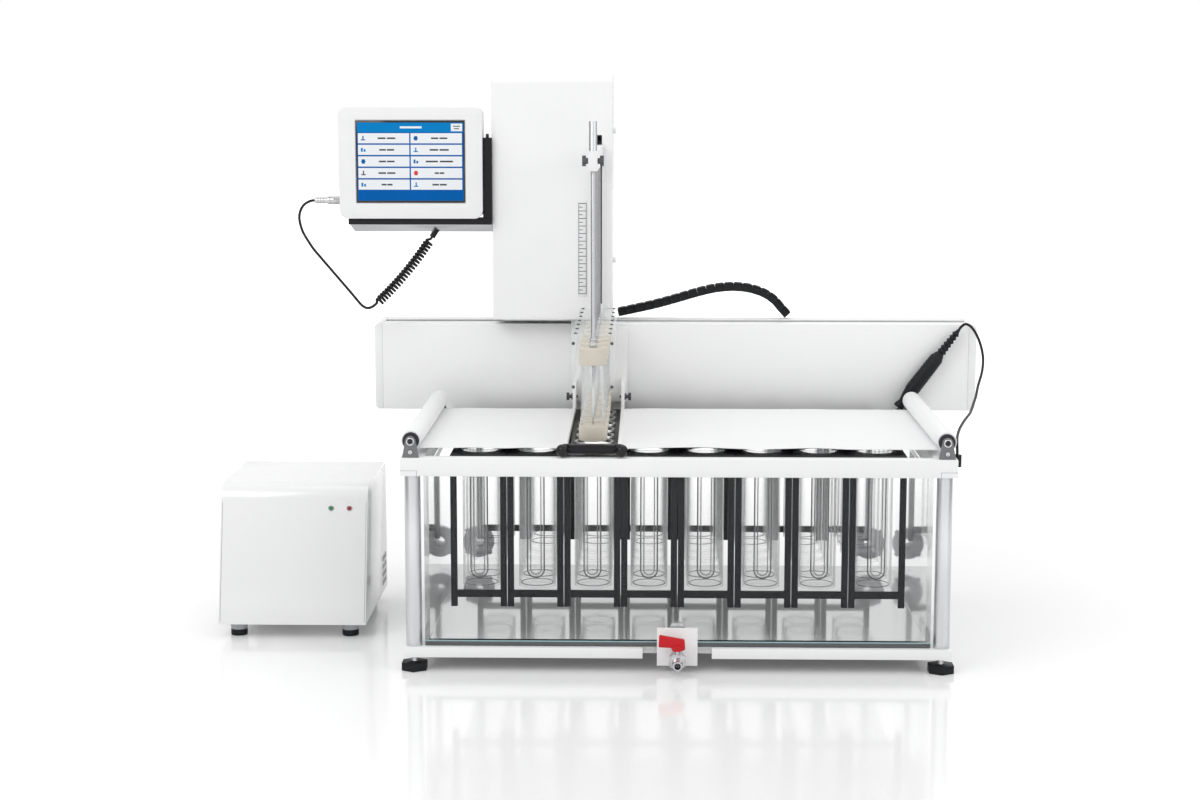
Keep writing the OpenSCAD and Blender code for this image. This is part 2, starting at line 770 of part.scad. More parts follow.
// Clear guard round the dipping cylinders: front, two sides and a top with rod holes
module splash_guard() {
    front = first_row - cap_d / 2 - 3 - shield_t;
    top = shield_z + shield_h;
    chamfer = 8;
    color([0.9, 0.95, 0.97, 0.3]) place() translate([dip_x, 0, 0]) {
        translate([0, front + shield_t, 0]) rotate([90, 0, 0]) linear_extrude(shield_t) polygon([
            [-shield_w / 2 + chamfer, shield_z], [shield_w / 2 - chamfer, shield_z],
            [shield_w / 2, shield_z + chamfer], [shield_w / 2, top],
            [-shield_w / 2, top], [-shield_w / 2, shield_z + chamfer]]);
        for (s = [0, 1])
            mirror([s, 0, 0])
                block([shield_w / 2 - shield_t, front + shield_t, shield_z + chamfer],
                      [shield_w / 2, tower_y, top]);
        difference() {
            block([-shield_w / 2 + shield_t, front + shield_t, top - shield_t],
                  [shield_w / 2 - shield_t, tower_y, top]);
            for (y = row_y)
                translate([0, y, top - shield_t - 1]) cylinder(d = rod_d + 5, h = shield_t + 2);
        }
    }
}

// Wound roller with two dark end plugs on stub axles
module roller(s) {
    plug_l = 4;
    axle_d = 6;
    color("white") place()
        along_y([s * roller_x, roller_y0 + plug_l + roller_l - 2 * plug_l, roller_z], roller_d,
                roller_l - 2 * plug_l);
    color([0.1, 0.1, 0.12]) place() {
        along_y([s * roller_x, roller_y0 + plug_l, roller_z], roller_d - 4, plug_l);
        along_y([s * roller_x, roller_y0 + roller_l, roller_z], roller_d - 4, plug_l);
        along_y([s * roller_x, roller_y0, roller_z], axle_d, 6);
        along_y([s * roller_x, roller_y0 + roller_l + 6, roller_z], axle_d, 6);
    }
}

// Tapered brackets on the top frame, one at each end of each roller
module roller_brackets() {
    foot_half = 11;
    head_half = 7;
    axle_d = 6;
    color("silver") place()
        for (x = [-roller_x, roller_x], y = [roller_y0 - 1, roller_y0 + roller_l + 1 + bracket_t])
            difference() {
                translate([x, y, 0]) rotate([90, 0, 0]) linear_extrude(bracket_t) polygon(concat(
                    [[-foot_half, frame_top], [foot_half, frame_top]],
                    arc([0, roller_z], head_half, 0, 180, 12)));
                along_y([x, y + 1, roller_z], axle_d + 2 * turn_gap, bracket_t + 2);
            }
}

module sheet_left() {
    color("white") place()
        block([-roller_x, cloth_y0, cloth_z], [dip_x - hem_x, cloth_y1, cloth_z + cloth_t]);
}

module sheet_right() {
    color("white") place()
        block([dip_x + hem_x, cloth_y0, cloth_z], [roller_x, cloth_y1, cloth_z + cloth_t]);
}

// Rounded housing with a recess for the screen
module display_housing() {
    r = 12;
    recess = 2;
    middle = [(display_x0 + display_x1) / 2, display_z + display_h / 2 + 2];
    color("white") place() difference() {
        translate([0, display_y + display_d, 0]) rotate([90, 0, 0]) linear_extrude(display_d)
            polygon(concat(
                arc([display_x1 - r, display_z + r], r, -90, 0, 8),
                arc([display_x1 - r, display_z + display_h - r], r, 0, 90, 8),
                arc([display_x0 + r, display_z + display_h - r], r, 90, 180, 8),
                arc([display_x0 + r, display_z + r], r, 180, 270, 8)));
        block([middle[0] - screen_w / 2, display_y - 1, middle[1] - screen_h / 2],
              [middle[0] + screen_w / 2, display_y + recess, middle[1] + screen_h / 2]);
    }
}

module display_screen() {
    middle = [(display_x0 + display_x1) / 2, display_z + display_h / 2 + 2];
    color([0.1, 0.35, 0.65]) place()
        block([middle[0] - screen_w / 2 + 1, display_y + 0.6, middle[1] - screen_h / 2 + 1],
              [middle[0] + screen_w / 2 - 1, display_y + 2, middle[1] + screen_h / 2 - 1]);
}

// Shelf angle with its end plate on the tower's side, the bar under it and the cord's gland
module display_shelf() {
    plate_h = 118;
    lean = 8;
    gland = curl_axis[3];
    gland_way = gland - curl_axis[2];
    color([0.1, 0.1, 0.11]) place() {
        block([display_x0 + 12, display_y + 6, display_z - shelf_h],
              [tower_x0, display_y + display_d + 12, display_z]);
        block([display_x1, display_y + 10, display_z],
              [tower_x0, display_y + display_d + 12, display_z + plate_h]);
        along_x([tower_x0 - display_gap / 2 - 2, display_y + 20, display_z + plate_h], 12, 4);
    }
    color("silver") place()
        translate([0, display_y + display_d + 12, 0]) rotate([90, 0, 0])
            linear_extrude(display_d - 6) polygon([
                [display_x0 + 12 + lean, bar_z], [tower_x0, bar_z],
                [tower_x0, bar_z + bar_h], [display_x0 + 12, bar_z + bar_h]]);
    color([0.1, 0.1, 0.1]) place()
        translate([gland[0], cord_y, gland[1]])
            rotate([0, atan2(gland_way[0], gland_way[1]), 0]) cylinder(d = 9, h = 15);
}

// Round connector on the display's left side
module display_plug() {
    plug_z = display_route[0][1];
    color("silver") place() {
        along_x([display_x0 - 20, cord_y, plug_z], 12, 20);
        along_x([display_route[0][0], cord_y, plug_z], 9,
                display_x0 - 20 - display_route[0][0] + eps);
    }
}

module display_cord() {
    color([0.06, 0.06, 0.06]) place()
        tube(smooth([for (p = display_route) [p[0], cord_y, p[1]]]), cord_d / 2, 8);
}

// The curls wind round a smooth middle line, straight for one diameter at both ends
curl_steps = curls * 8;
curl_r = curl_d / 2 - cord_d / 2;
function axis_point(t) = let (p = bezier(curl_axis, t)) [p[0], cord_y, p[1]];
function axis_way(t) = unit(axis_point(min(t + 0.01, 1)) - axis_point(max(t - 0.01, 0)));
function curl_ease(t) = min(1, max(0, (t - 0.03) / 0.05), max(0, (0.97 - t) / 0.05));
curl_line = concat(
    [axis_point(0), axis_point(0.012)],
    [for (i = [1:curl_steps - 1])
        let (t = 0.02 + 0.96 * i / curl_steps, w = axis_way(t), n = cross(w, [0, 1, 0]))
        axis_point(t) + curl_r * curl_ease(t) * (cos(45 * i) * n + sin(45 * i) * [0, 1, 0])],
    [axis_point(0.988), axis_point(1)]);
function least_gap(p) = min([
    for (i = [0:len(p) - 8], j = [i + 6:min(i + 12, len(p) - 1)]) norm(p[i] - p[j])]) - cord_d;
echo(curl_gap = least_gap(curl_line));

module display_curls() {
    color([0.06, 0.06, 0.06]) place() tube(curl_line, cord_d / 2, 6);
}

// Arched chain between the tower's foot and the beam's top
module drag_chain() {
    x0 = tower_x1 + 3;
    x1 = x0 + chain_l;
    kx = chain_l / 268;
    kz = chain_rise / 44;
    over = [for (p = [[0, 6], [60, 20], [120, 36], [160, 44], [205, 43], [238, 31], [258, 12]])
        [x0 + kx * p[0], beam_top + kz * p[1] + link_h]];
    under = [for (p = [[246, 14], [230, 28], [202, 38], [162, 39], [123, 29], [63, 10]])
        [x0 + kx * p[0], beam_top + kz * p[1]]];
    outer = concat([[x0, beam_top + 0.5]], over, [[x1 + link_h / 2, beam_top]]);
    inner = concat([[x1 - link_h / 2, beam_top]], under, [[x0 + link_h, beam_top + 0.5]]);
    color([0.08, 0.08, 0.09]) place()
        translate([0, beam_rear - 6, 0]) rotate([90, 0, 0]) linear_extrude(link_w)
            polygon(concat(outer, inner));
}

// Black handle with a flared foot, a ribbed strain relief and a short steel sensor,
// standing in a holder at the frame's rear right corner
module probe() {
    handle_l = 98;
    rib_l = probe_l - handle_l - 8;
    ribs = 7;
    hole_d = 7;
    color([0.08, 0.08, 0.09]) place() {
        translate(probe_tip) rotate([0, probe_lean, 0]) rotate_extrude()
            polygon(concat(
                [[0, 5], [8, 5], [8, 10], [6, 15], [8.5, 26], [11, 40], [10.2, handle_l],
                 [8, handle_l + 4]],
                [for (k = [0:ribs - 1], e = [0:1])
                    [(e == 0 ? 7.6 : 5) - 0.3 * k, handle_l + 6 + rib_l * (k + e * 0.6) / ribs]],
                [[2.2, handle_l + rib_l + 8], [0, handle_l + rib_l + 8]]));
        difference() {
            block([tank_x - 22, probe_tip[1] - 12, frame_top],
                  [tank_x + 14, probe_tip[1] + 10, frame_top + 2]);
            translate(probe_tip) rotate([0, probe_lean, 0])
                translate([0, 0, -30]) cylinder(d = hole_d, h = 60);
        }
        translate(probe_socket - [0, 0, 16]) cylinder(d = 12, h = 16);
        block([half_w, probe_socket[1] - 6, probe_socket[2] - 14],
              [probe_socket[0], probe_socket[1] + 6, probe_socket[2] - 4]);
    }
    color("silver") place()
        translate(probe_tip) rotate([0, probe_lean, 0])
            translate([0, 0, -34]) cylinder(d = 5, h = 39 + eps);
}

module probe_cable() {
    color([0.06, 0.06, 0.06]) place() tube(smooth(probe_route), cord_d / 2, 8);
}

// White plate in the base's gap with the chrome valve, its nozzle and the inner nut
module valve_body() {
    nut_d = 25;
    stem_l = 6;
    face = tank_front - 5;
    color("white") place() difference() {
        block([-valve_plate_w / 2, face, 9], [valve_plate_w / 2, tank_front, 60]);
        along_y([0, tank_front + 1, valve_z], nozzle_bore, 8);
    }
    color("silver") place() {
        difference() {
            union() {
                along_y([0, face, valve_z], 20, face - nozzle_y);
                translate([0, nozzle_y + 12, valve_z]) rotate([90, 0, 0]) rotate(30)
                    cylinder(d = nut_d, h = 10, $fn = 6);
                along_y([0, nozzle_y + eps, valve_z], nozzle_d, nozzle_l + eps);
                translate([0, valve_y, valve_z]) cylinder(d = 9, h = 14);
            }
            along_y([0, face + 1, valve_z], nozzle_bore, face + nozzle_l - nozzle_y + 2);
        }
        translate([0, tank_front + tank_wall + stem_l, floor_top + nut_d / 2]) rotate([90, 0, 0])
            cylinder(d = nut_d, h = stem_l, $fn = 6);
    }
}

// Red wing lever on the valve's upright stem
module valve_lever() {
    hub_z = valve_z + 14 + 0.2;
    color([0.8, 0.1, 0.12]) place() {
        translate([0, valve_y, hub_z]) cylinder(d = 14, h = 8);
        block([-26, valve_y - 4, hub_z + 4], [-4, valve_y + 4, hub_z + 22]);
        block([-6, valve_y - 4, hub_z + 8 - eps], [6, valve_y + 4, hub_z + 16]);
    }
}

// Side outline with a front that leans back and runs smoothly into the top
module heater_profile(inset) {
    r = 14 - inset;
    front_r = heater_round - inset;
    front_angle = 180 - atan(heater_lean / (heater_h - heater_round));
    top = heater_top - inset;
    front = heater_y0 + inset;
    back = heater_y1 - inset;
    foot = heater_foot_h + inset;
    polygon(concat(
        [[back, foot]],
        arc([back - r, top - r], r, 0, 90, 8),
        arc([front + heater_lean + front_r, top - front_r], front_r, 90, front_angle, 10),
        [[front, foot]]));
}

// Hollow casing on four feet
module heater_casing() {
    foot_d = 27;
    color("white") place() difference() {
        translate([heater_x0, 0, 0]) rotate([90, 0, 90]) linear_extrude(heater_w)
            heater_profile(0);
        translate([heater_x0 + heater_wall, 0, 0]) rotate([90, 0, 90])
            linear_extrude(heater_w - 2 * heater_wall) heater_profile(heater_wall);
    }
    color([0.2, 0.2, 0.2]) place()
        for (x = [heater_x0 + 25, heater_x1 - 25], y = [heater_y0 + 25, heater_y1 - 25])
            translate([x, y, 0])
                cylinder(d1 = foot_d - 8, d2 = foot_d, h = heater_foot_h);
}

// Two hose nozzles on the back
module heater_fittings() {
    color("silver") place()
        for (x = [heater_x0 + 60, heater_x1 - 60])
            difference() {
                along_y([x, heater_y1 + outlet_l, heater_foot_h + 60], outlet_d, outlet_l);
                along_y([x, heater_y1 + outlet_l + 1, heater_foot_h + 60], outlet_d - 4,
                        outlet_l - 2);
            }
}

base_frame();
base_plate();
corner_posts();
top_frame();
tank();
bulkhead_fittings();
guard_tubes();
rack_plates();
racks();
for (i = [0:columns - 1]) {
    vessels(i);
}
foot(0);  // foot_front_left
foot(1);  // foot_front_right
foot(2);  // foot_rear_left
foot(3);  // foot_rear_right
beam_housing();
beam_end_caps();
beam_rail();
drive_motor();
carriage_runner();
carriage_plate();
tower_casing();
scale_plate();
lift_motor();
lift_screw();
lift_arm();
dip_rods();
cylinder_caps();
cylinder_glass();
arm_screw(0);  // arm_screw_left
arm_screw(1);  // arm_screw_right
cover_hem();
cover_bar();
splash_guard();
thumb_screw(0);  // thumb_screw_left
thumb_screw(1);  // thumb_screw_right
roller(-1);  // roller_left
roller(1);  // roller_right
roller_brackets();
sheet_left();
sheet_right();
display_housing();
display_screen();
display_shelf();
display_plug();
display_cord();
display_curls();
drag_chain();
probe();
probe_cable();
valve_body();
valve_lever();
heater_casing();
heater_fittings();
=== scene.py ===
"""Looks of a reciprocating-cylinder dissolution tester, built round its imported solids."""

from __future__ import annotations

import json
import logging
import math
from dataclasses import dataclass, field
from enum import Enum
from typing import Callable, Sequence, Union

import bpy
from mathutils import Matrix, Vector

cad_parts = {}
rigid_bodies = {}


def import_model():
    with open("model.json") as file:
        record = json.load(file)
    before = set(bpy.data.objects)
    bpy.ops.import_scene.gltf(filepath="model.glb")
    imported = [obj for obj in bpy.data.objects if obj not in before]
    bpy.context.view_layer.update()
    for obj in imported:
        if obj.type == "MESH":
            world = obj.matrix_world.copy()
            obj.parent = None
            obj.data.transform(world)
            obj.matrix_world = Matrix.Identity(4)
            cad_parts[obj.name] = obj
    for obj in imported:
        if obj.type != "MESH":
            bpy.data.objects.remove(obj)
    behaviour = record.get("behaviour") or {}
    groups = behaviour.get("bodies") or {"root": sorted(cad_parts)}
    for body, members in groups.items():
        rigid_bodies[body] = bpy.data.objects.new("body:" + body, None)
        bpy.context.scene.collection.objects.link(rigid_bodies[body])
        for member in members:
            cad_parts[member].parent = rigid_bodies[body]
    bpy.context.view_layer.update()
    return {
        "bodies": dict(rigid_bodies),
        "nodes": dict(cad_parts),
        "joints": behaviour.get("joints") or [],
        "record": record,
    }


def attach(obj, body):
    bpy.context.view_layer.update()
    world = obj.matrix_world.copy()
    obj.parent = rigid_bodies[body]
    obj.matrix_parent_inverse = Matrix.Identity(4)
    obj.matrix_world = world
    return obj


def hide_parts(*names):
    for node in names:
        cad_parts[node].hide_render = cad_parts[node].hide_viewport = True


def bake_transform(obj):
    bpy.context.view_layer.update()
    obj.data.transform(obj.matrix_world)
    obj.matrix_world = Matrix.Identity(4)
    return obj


LOG = logging.getLogger("dissolution_tester")
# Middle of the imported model, in the bath's own millimetres.
MIDDLE_X = -96.5
MIDDLE_Y = 246.0
# Where the dipping cylinders hang, and the columns and rows of vessels, in the same millimetres.
DIP_X = -113.25
COLUMNS = tuple(75.5 * (i - 3.5) for i in range(8))
ROWS = tuple(68.0 + 54 * k for k in range(7))
FEET = ("front_left", "front_right", "rear_left", "rear_right")
# Corners closer together than this, in metres, are one.
MERGE = 0.00002
# A face looks along a direction where its normal has more than this share of it.
ALONG = 0.9

Colour = tuple[float, float, float]
Pair = tuple[float, float]
Point = tuple[float, float, float]
Box = tuple[float, float, float, float]
Piece = bpy.types.Object
Test = Callable[[Vector, Vector], bool]
Value = Union["Sock", float, Sequence[float]]


def at(x: float, y: float, z: float) -> Vector:
    """A point of the bath's own millimetres, as metres in the model's frame."""
    return Vector(((x - MIDDLE_X) / 1000, (y - MIDDLE_Y) / 1000, z / 1000))


def bath(point: Vector) -> Vector:
    """A point of the model's frame, as the bath's own millimetres."""
    return Vector((point.x * 1000 + MIDDLE_X, point.y * 1000 + MIDDLE_Y, point.z * 1000))


def facing(way: Sequence[float]) -> Test:
    """A test for the faces that look along a direction."""
    wanted = Vector(way)
    return lambda centre, normal: normal.dot(wanted) > ALONG


class Sock:
    """A shader socket that takes part in Python expressions."""

    def __init__(self, net: Net, socket: bpy.types.NodeSocket) -> None:
        """Keeps the socket and the net that its Math nodes go into."""
        self.net = net
        self.socket = socket

    def math(self, operation: str, *terms: Value) -> Sock:
        """Adds a Math node on this socket and more terms.

        Args:
            operation: The Math node's operation.
            terms: What follows this socket in the node's inputs.

        Returns:
            The node's result.
        """
        inputs = dict(enumerate((self, *terms)))
        return self.net.node("ShaderNodeMath", {"operation": operation}, inputs)

    def __add__(self, other: Value) -> Sock:
        """This socket plus another value."""
        return self.math("ADD", other)

    __radd__ = __add__

    def __sub__(self, other: Value) -> Sock:
        """This socket less another value."""
        return self.math("SUBTRACT", other)

    def __rsub__(self, other: float) -> Sock:
        """A number less this socket."""
        return self.net.node("ShaderNodeMath", {"operation": "SUBTRACT"}, {0: other, 1: self})

    def __mul__(self, other: Value) -> Sock:
        """This socket times another value."""
        return self.math("MULTIPLY", other)

    __rmul__ = __mul__

    def __abs__(self) -> Sock:
        """The socket's value without its sign."""
        return self.math("ABSOLUTE")


class Net:
    """The node tree of a material or of the world."""

    def __init__(self, tree: bpy.types.NodeTree) -> None:
        """Takes a tree and empties it."""
        self.tree = tree
        tree.nodes.clear()

    def node(
        self,
        kind: str,
        settings: dict[str, object] | None = None,
        inputs: dict[int | str, Value] | None = None,
        out: int | str = 0,
    ) -> Sock:
        """Adds one node.

        Args:
            kind: The node's type.
            settings: Its own settings, set before its sockets; "stops" are a ramp's places and greys.
            inputs: Values or links of its sockets, by name or number.
            out: Which of its outputs is wanted.

        Returns:
            That output.
        """
        made = self.tree.nodes.new(kind)
        for key, value in (settings or {}).items():
            if key != "stops":
                setattr(made, key, value)
                continue
            for element, (place, grey) in zip(made.color_ramp.elements, value):
                element.position = place
                element.color = (grey, grey, grey, 1)
        for key, value in (inputs or {}).items():
            socket = made.inputs[key]
            if isinstance(value, Sock):
                self.tree.links.new(value.socket, socket)
            else:
                socket.default_value = value
        return Sock(self, made.outputs[out]) if len(made.outputs) else Sock(self, made.inputs[0])

    def place(self, stretch: Sequence[float] = (1, 1, 1), turn: Sequence[float] = (0, 0, 0)) -> Sock:
        """The surface's Object coordinates, stretched and turned.

        Args:
            stretch: Scale along each axis.
            turn: Turn about each axis, in radians.

        Returns:
            The mapped coordinates.
        """
        where = self.node("ShaderNodeTexCoord", out="Object")
        return self.node("ShaderNodeMapping", inputs={0: where, "Rotation": turn, "Scale": stretch})

    def noise(self, where: Sock, size: float, detail: float = 3.0) -> Sock:
        """Soft noise, from 0 to 1.

        Args:
            where: Coordinates.
            size: Width of a patch in metres.
            detail: Number of finer layers.

        Returns:
            The noise.
        """
        inputs = {"Vector": where, "Scale": 1 / size, "Detail": detail}
        return self.node("ShaderNodeTexNoise", inputs=inputs)

    def mix(self, share: Value, first: Value, second: Value) -> Sock:
        """A mix of two colours.

        Args:
            share: Share of the second colour.
            first: The first colour.
            second: The second colour.

        Returns:
            The mixed colour.
        """
        settings = {"data_type": "RGBA"}
        return self.node("ShaderNodeMix", settings, {0: share, 6: first, 7: second}, 2)

    def ray(self, kind: str) -> Sock:
        """Whether the light path is of one kind, such as Camera."""
        return self.node("ShaderNodeLightPath", out=f"Is {kind} Ray")

    def step(self, value: Sock, reach: Pair, levels: Pair) -> Sock:
        """A smooth step from one level to another.

        Args:
            value: What the step follows.
            reach: Where it starts and ends.
            levels: The level before it and after it.

        Returns:
            The level.
        """
        inputs = {"Value": value, "From Min": reach[0], "From Max": reach[1]}
        inputs |= {"To Min": levels[0], "To Max": levels[1]}
        return self.node("ShaderNodeMapRange", {"interpolation_type": "SMOOTHSTEP"}, inputs)


class Grain(Enum):
    """The fine texture of a surface."""

    PEEL = "sprayed coat"
    MOULDED = "moulded skin"
    BRUSHED = "brushed along the length"
    WOVEN = "fine weave"
    POLISHED = "polished"


@dataclass(frozen=True)
class Finish:
    """An opaque surface: colour, sheen and fine texture.

    Attributes:
        name: The material's name.
        slot: The record's material slot.
        colour: Its colour, in linear light.
        rough: The shader's roughness.
        metal: Its metallic share.
        coat: Weight of a clear coat.
        sheen: Weight of a cloth's sheen.
        mottle: How far the colour strays, as a share of it.
        patch: Width of a patch of stray colour, in metres.
        grain: Kind of fine texture.
        grain_size: Width of the fine texture, in metres.
        grain_height: Height of the fine texture, in metres.
        along: Stretch of brushed grain along each axis.
        glow: Strength of its own light.
        gloss: The shader's specular level.
        vary: How far the roughness strays from patch to patch.
    """

    # The same in every finish.
    coat_rough = 0.08
    grain_rough = 0.05
    least_rough = 0.02
    thread_scale = 0.3
    thread_stray = 0.6
    polish_width = 12

    name: str
    slot: str
    colour: Colour
    rough: float = 0.4
    metal: float = 0.0
    coat: float = 0.0
    sheen: float = 0.0
    mottle: float = 0.04
    patch: float = 0.06
    grain: Grain = Grain.PEEL
    grain_size: float = 0.0015
    grain_height: float = 0.00006
    along: tuple[float, float, float] = (1.0, 1.0, 0.02)
    glow: float = 0.0
    gloss: float = 0.5
    vary: float = 0.14

    def material(self) -> bpy.types.Material:
        """The finish as a material, made at its first use.

        Returns:
            The material.
        """
        found = bpy.data.materials.get(self.name)
        if found:
            return found
        made = bpy.data.materials.new(self.name)
        made.use_nodes = True
        net = Net(made.node_tree)
        shader = net.node("ShaderNodeBsdfPrincipled", inputs=self.sockets(net))
        net.node("ShaderNodeOutputMaterial", inputs={"Surface": shader})
        made.diffuse_color = (*self.colour, 1)
        return made

    def sockets(self, net: Net) -> dict[int | str, Value]:
        """The shader's values and links.

        Args:
            net: The material's node tree.

        Returns:
            Socket names with their values.
        """
        cloud = net.noise(net.place(), self.patch)
        fine = self.relief(net)
        low = [max(0.0, c * (1 - self.mottle)) for c in self.colour]
        high = [min(1.0, c * (1 + self.mottle)) for c in self.colour]
        tint = net.mix(cloud, (*low, 1), (*high, 1))
        rough = self.rough + (cloud - 0.5) * self.vary + (fine - 0.5) * self.grain_rough
        height = {"Strength": 1.0, "Distance": self.grain_height, "Height": fine}
        values: dict[int | str, Value] = {
            "Base Color": tint,
            "Roughness": rough.math("MAXIMUM", self.least_rough),
            "Normal": net.node("ShaderNodeBump", inputs=height),
            "Metallic": self.metal,
            "Coat Weight": self.coat,
            "Coat Roughness": self.coat_rough,
            "Sheen Weight": self.sheen,
            "Specular IOR Level": self.gloss,
        }
        if self.glow:
            values["Emission Color"] = tint
            values["Emission Strength"] = self.glow
        return values

    def relief(self, net: Net) -> Sock:
        """The height of the surface's fine texture.

        Args:
            net: The material's node tree.

        Returns:
            A height from 0 to 1.
        """
        if self.grain is Grain.BRUSHED:
            return net.noise(net.place(self.along), self.grain_size, 2.0)
        if self.grain is Grain.WOVEN:
            scale = self.thread_scale / self.grain_size
            inputs = {"Vector": net.place(), "Scale": scale, "Distortion": self.thread_stray}
            weft = net.node("ShaderNodeTexWave", {"bands_direction": "X"}, inputs, "Fac")
            warp = net.node("ShaderNodeTexWave", {"bands_direction": "Y"}, inputs, "Fac")
            return (weft + warp) * 0.5
        if self.grain is Grain.MOULDED:
            cells = net.node(
                "ShaderNodeTexVoronoi",
                {"feature": "SMOOTH_F1"},
                {"Vector": net.place(), "Scale": 1 / self.grain_size},
                "Distance",
            )
            return cells.math("MINIMUM", 1.0)
        if self.grain is Grain.POLISHED:
            return net.noise(net.place(), self.grain_size * self.polish_width, 4.0)
        return net.noise(net.place(), self.grain_size, 2.0)


@dataclass(frozen=True)
class ClearFinish(Finish):
    """Thin clear wall of glass or acrylic: a faint film face on, darker and denser edge on.

    Attributes:
        film: How dense the wall is face on.
        edge: How much denser it is edge on.
        bend: How late it grows dense as the wall turns away.
        reach: Above 1, it is at its densest before the wall is edge on.
        edge_colour: Its colour edge on.
    """

    # The same in every clear finish.
    clean_rough = 0.02
    smear_rough = 0.03
    smear_stretch = (1, 1, 0.3)
    ior = 1.47

    film: float = 0.003
    edge: float = 0.85
    bend: float = 3.0
    reach: float = 1.0
    edge_colour: Colour = (0.10, 0.115, 0.12)

    def sockets(self, net: Net) -> dict[int | str, Value]:
        """The shader's values and links.

        Args:
            net: The material's node tree.

        Returns:
            Socket names with their values.
        """
        smear = net.noise(net.place(self.smear_stretch), self.patch, 4.0)
        turned = net.node("ShaderNodeLayerWeight", inputs={"Blend": 0.5}, out="Facing")
        slant = (turned * self.reach).math("POWER", self.bend).math("MINIMUM", 1.0)
        return {
            "Base Color": net.mix(slant, (*self.colour, 1), (*self.edge_colour, 1)),
            "Roughness": self.clean_rough + smear * self.smear_rough,
            "Alpha": self.film * (0.6 + smear * 0.8) + slant * self.edge,
            "Metallic": self.metal,
            "IOR": self.ior,
            "Specular IOR Level": self.gloss,
        }


@dataclass(frozen=True)
class FloorFinish(Finish):
    """The pale glossy floor, white to the camera where no shadow or mirror image falls."""

    near_lift: float = 0.09
    far_lift: float = 0.62
    lift_reach: Pair = (0.7, 2.2)
    pale: Colour = (0.91, 0.91, 0.91)

    def sockets(self, net: Net) -> dict[int | str, Value]:
        """The shader's values and links.

        Args:
            net: The material's node tree.

        Returns:
            Socket names with their values.
        """
        cloud = net.noise(net.place(), self.patch)
        seen = net.ray("Camera").math("MAXIMUM", net.ray("Glossy")).math("MAXIMUM", net.ray("Transmission"))
        where = net.node("ShaderNodeVectorMath", {"operation": "LENGTH"}, {0: net.place()}, "Value")
        lift = net.step(where, self.lift_reach, (self.near_lift, self.far_lift))
        return {
            "Base Color": net.mix(cloud, (*self.colour, 1), (*self.pale, 1)),
            "Roughness": self.rough + (cloud - 0.5) * self.vary,
            "Emission Color": (1, 1, 1, 1),
            "Emission Strength": seen * lift,
        }


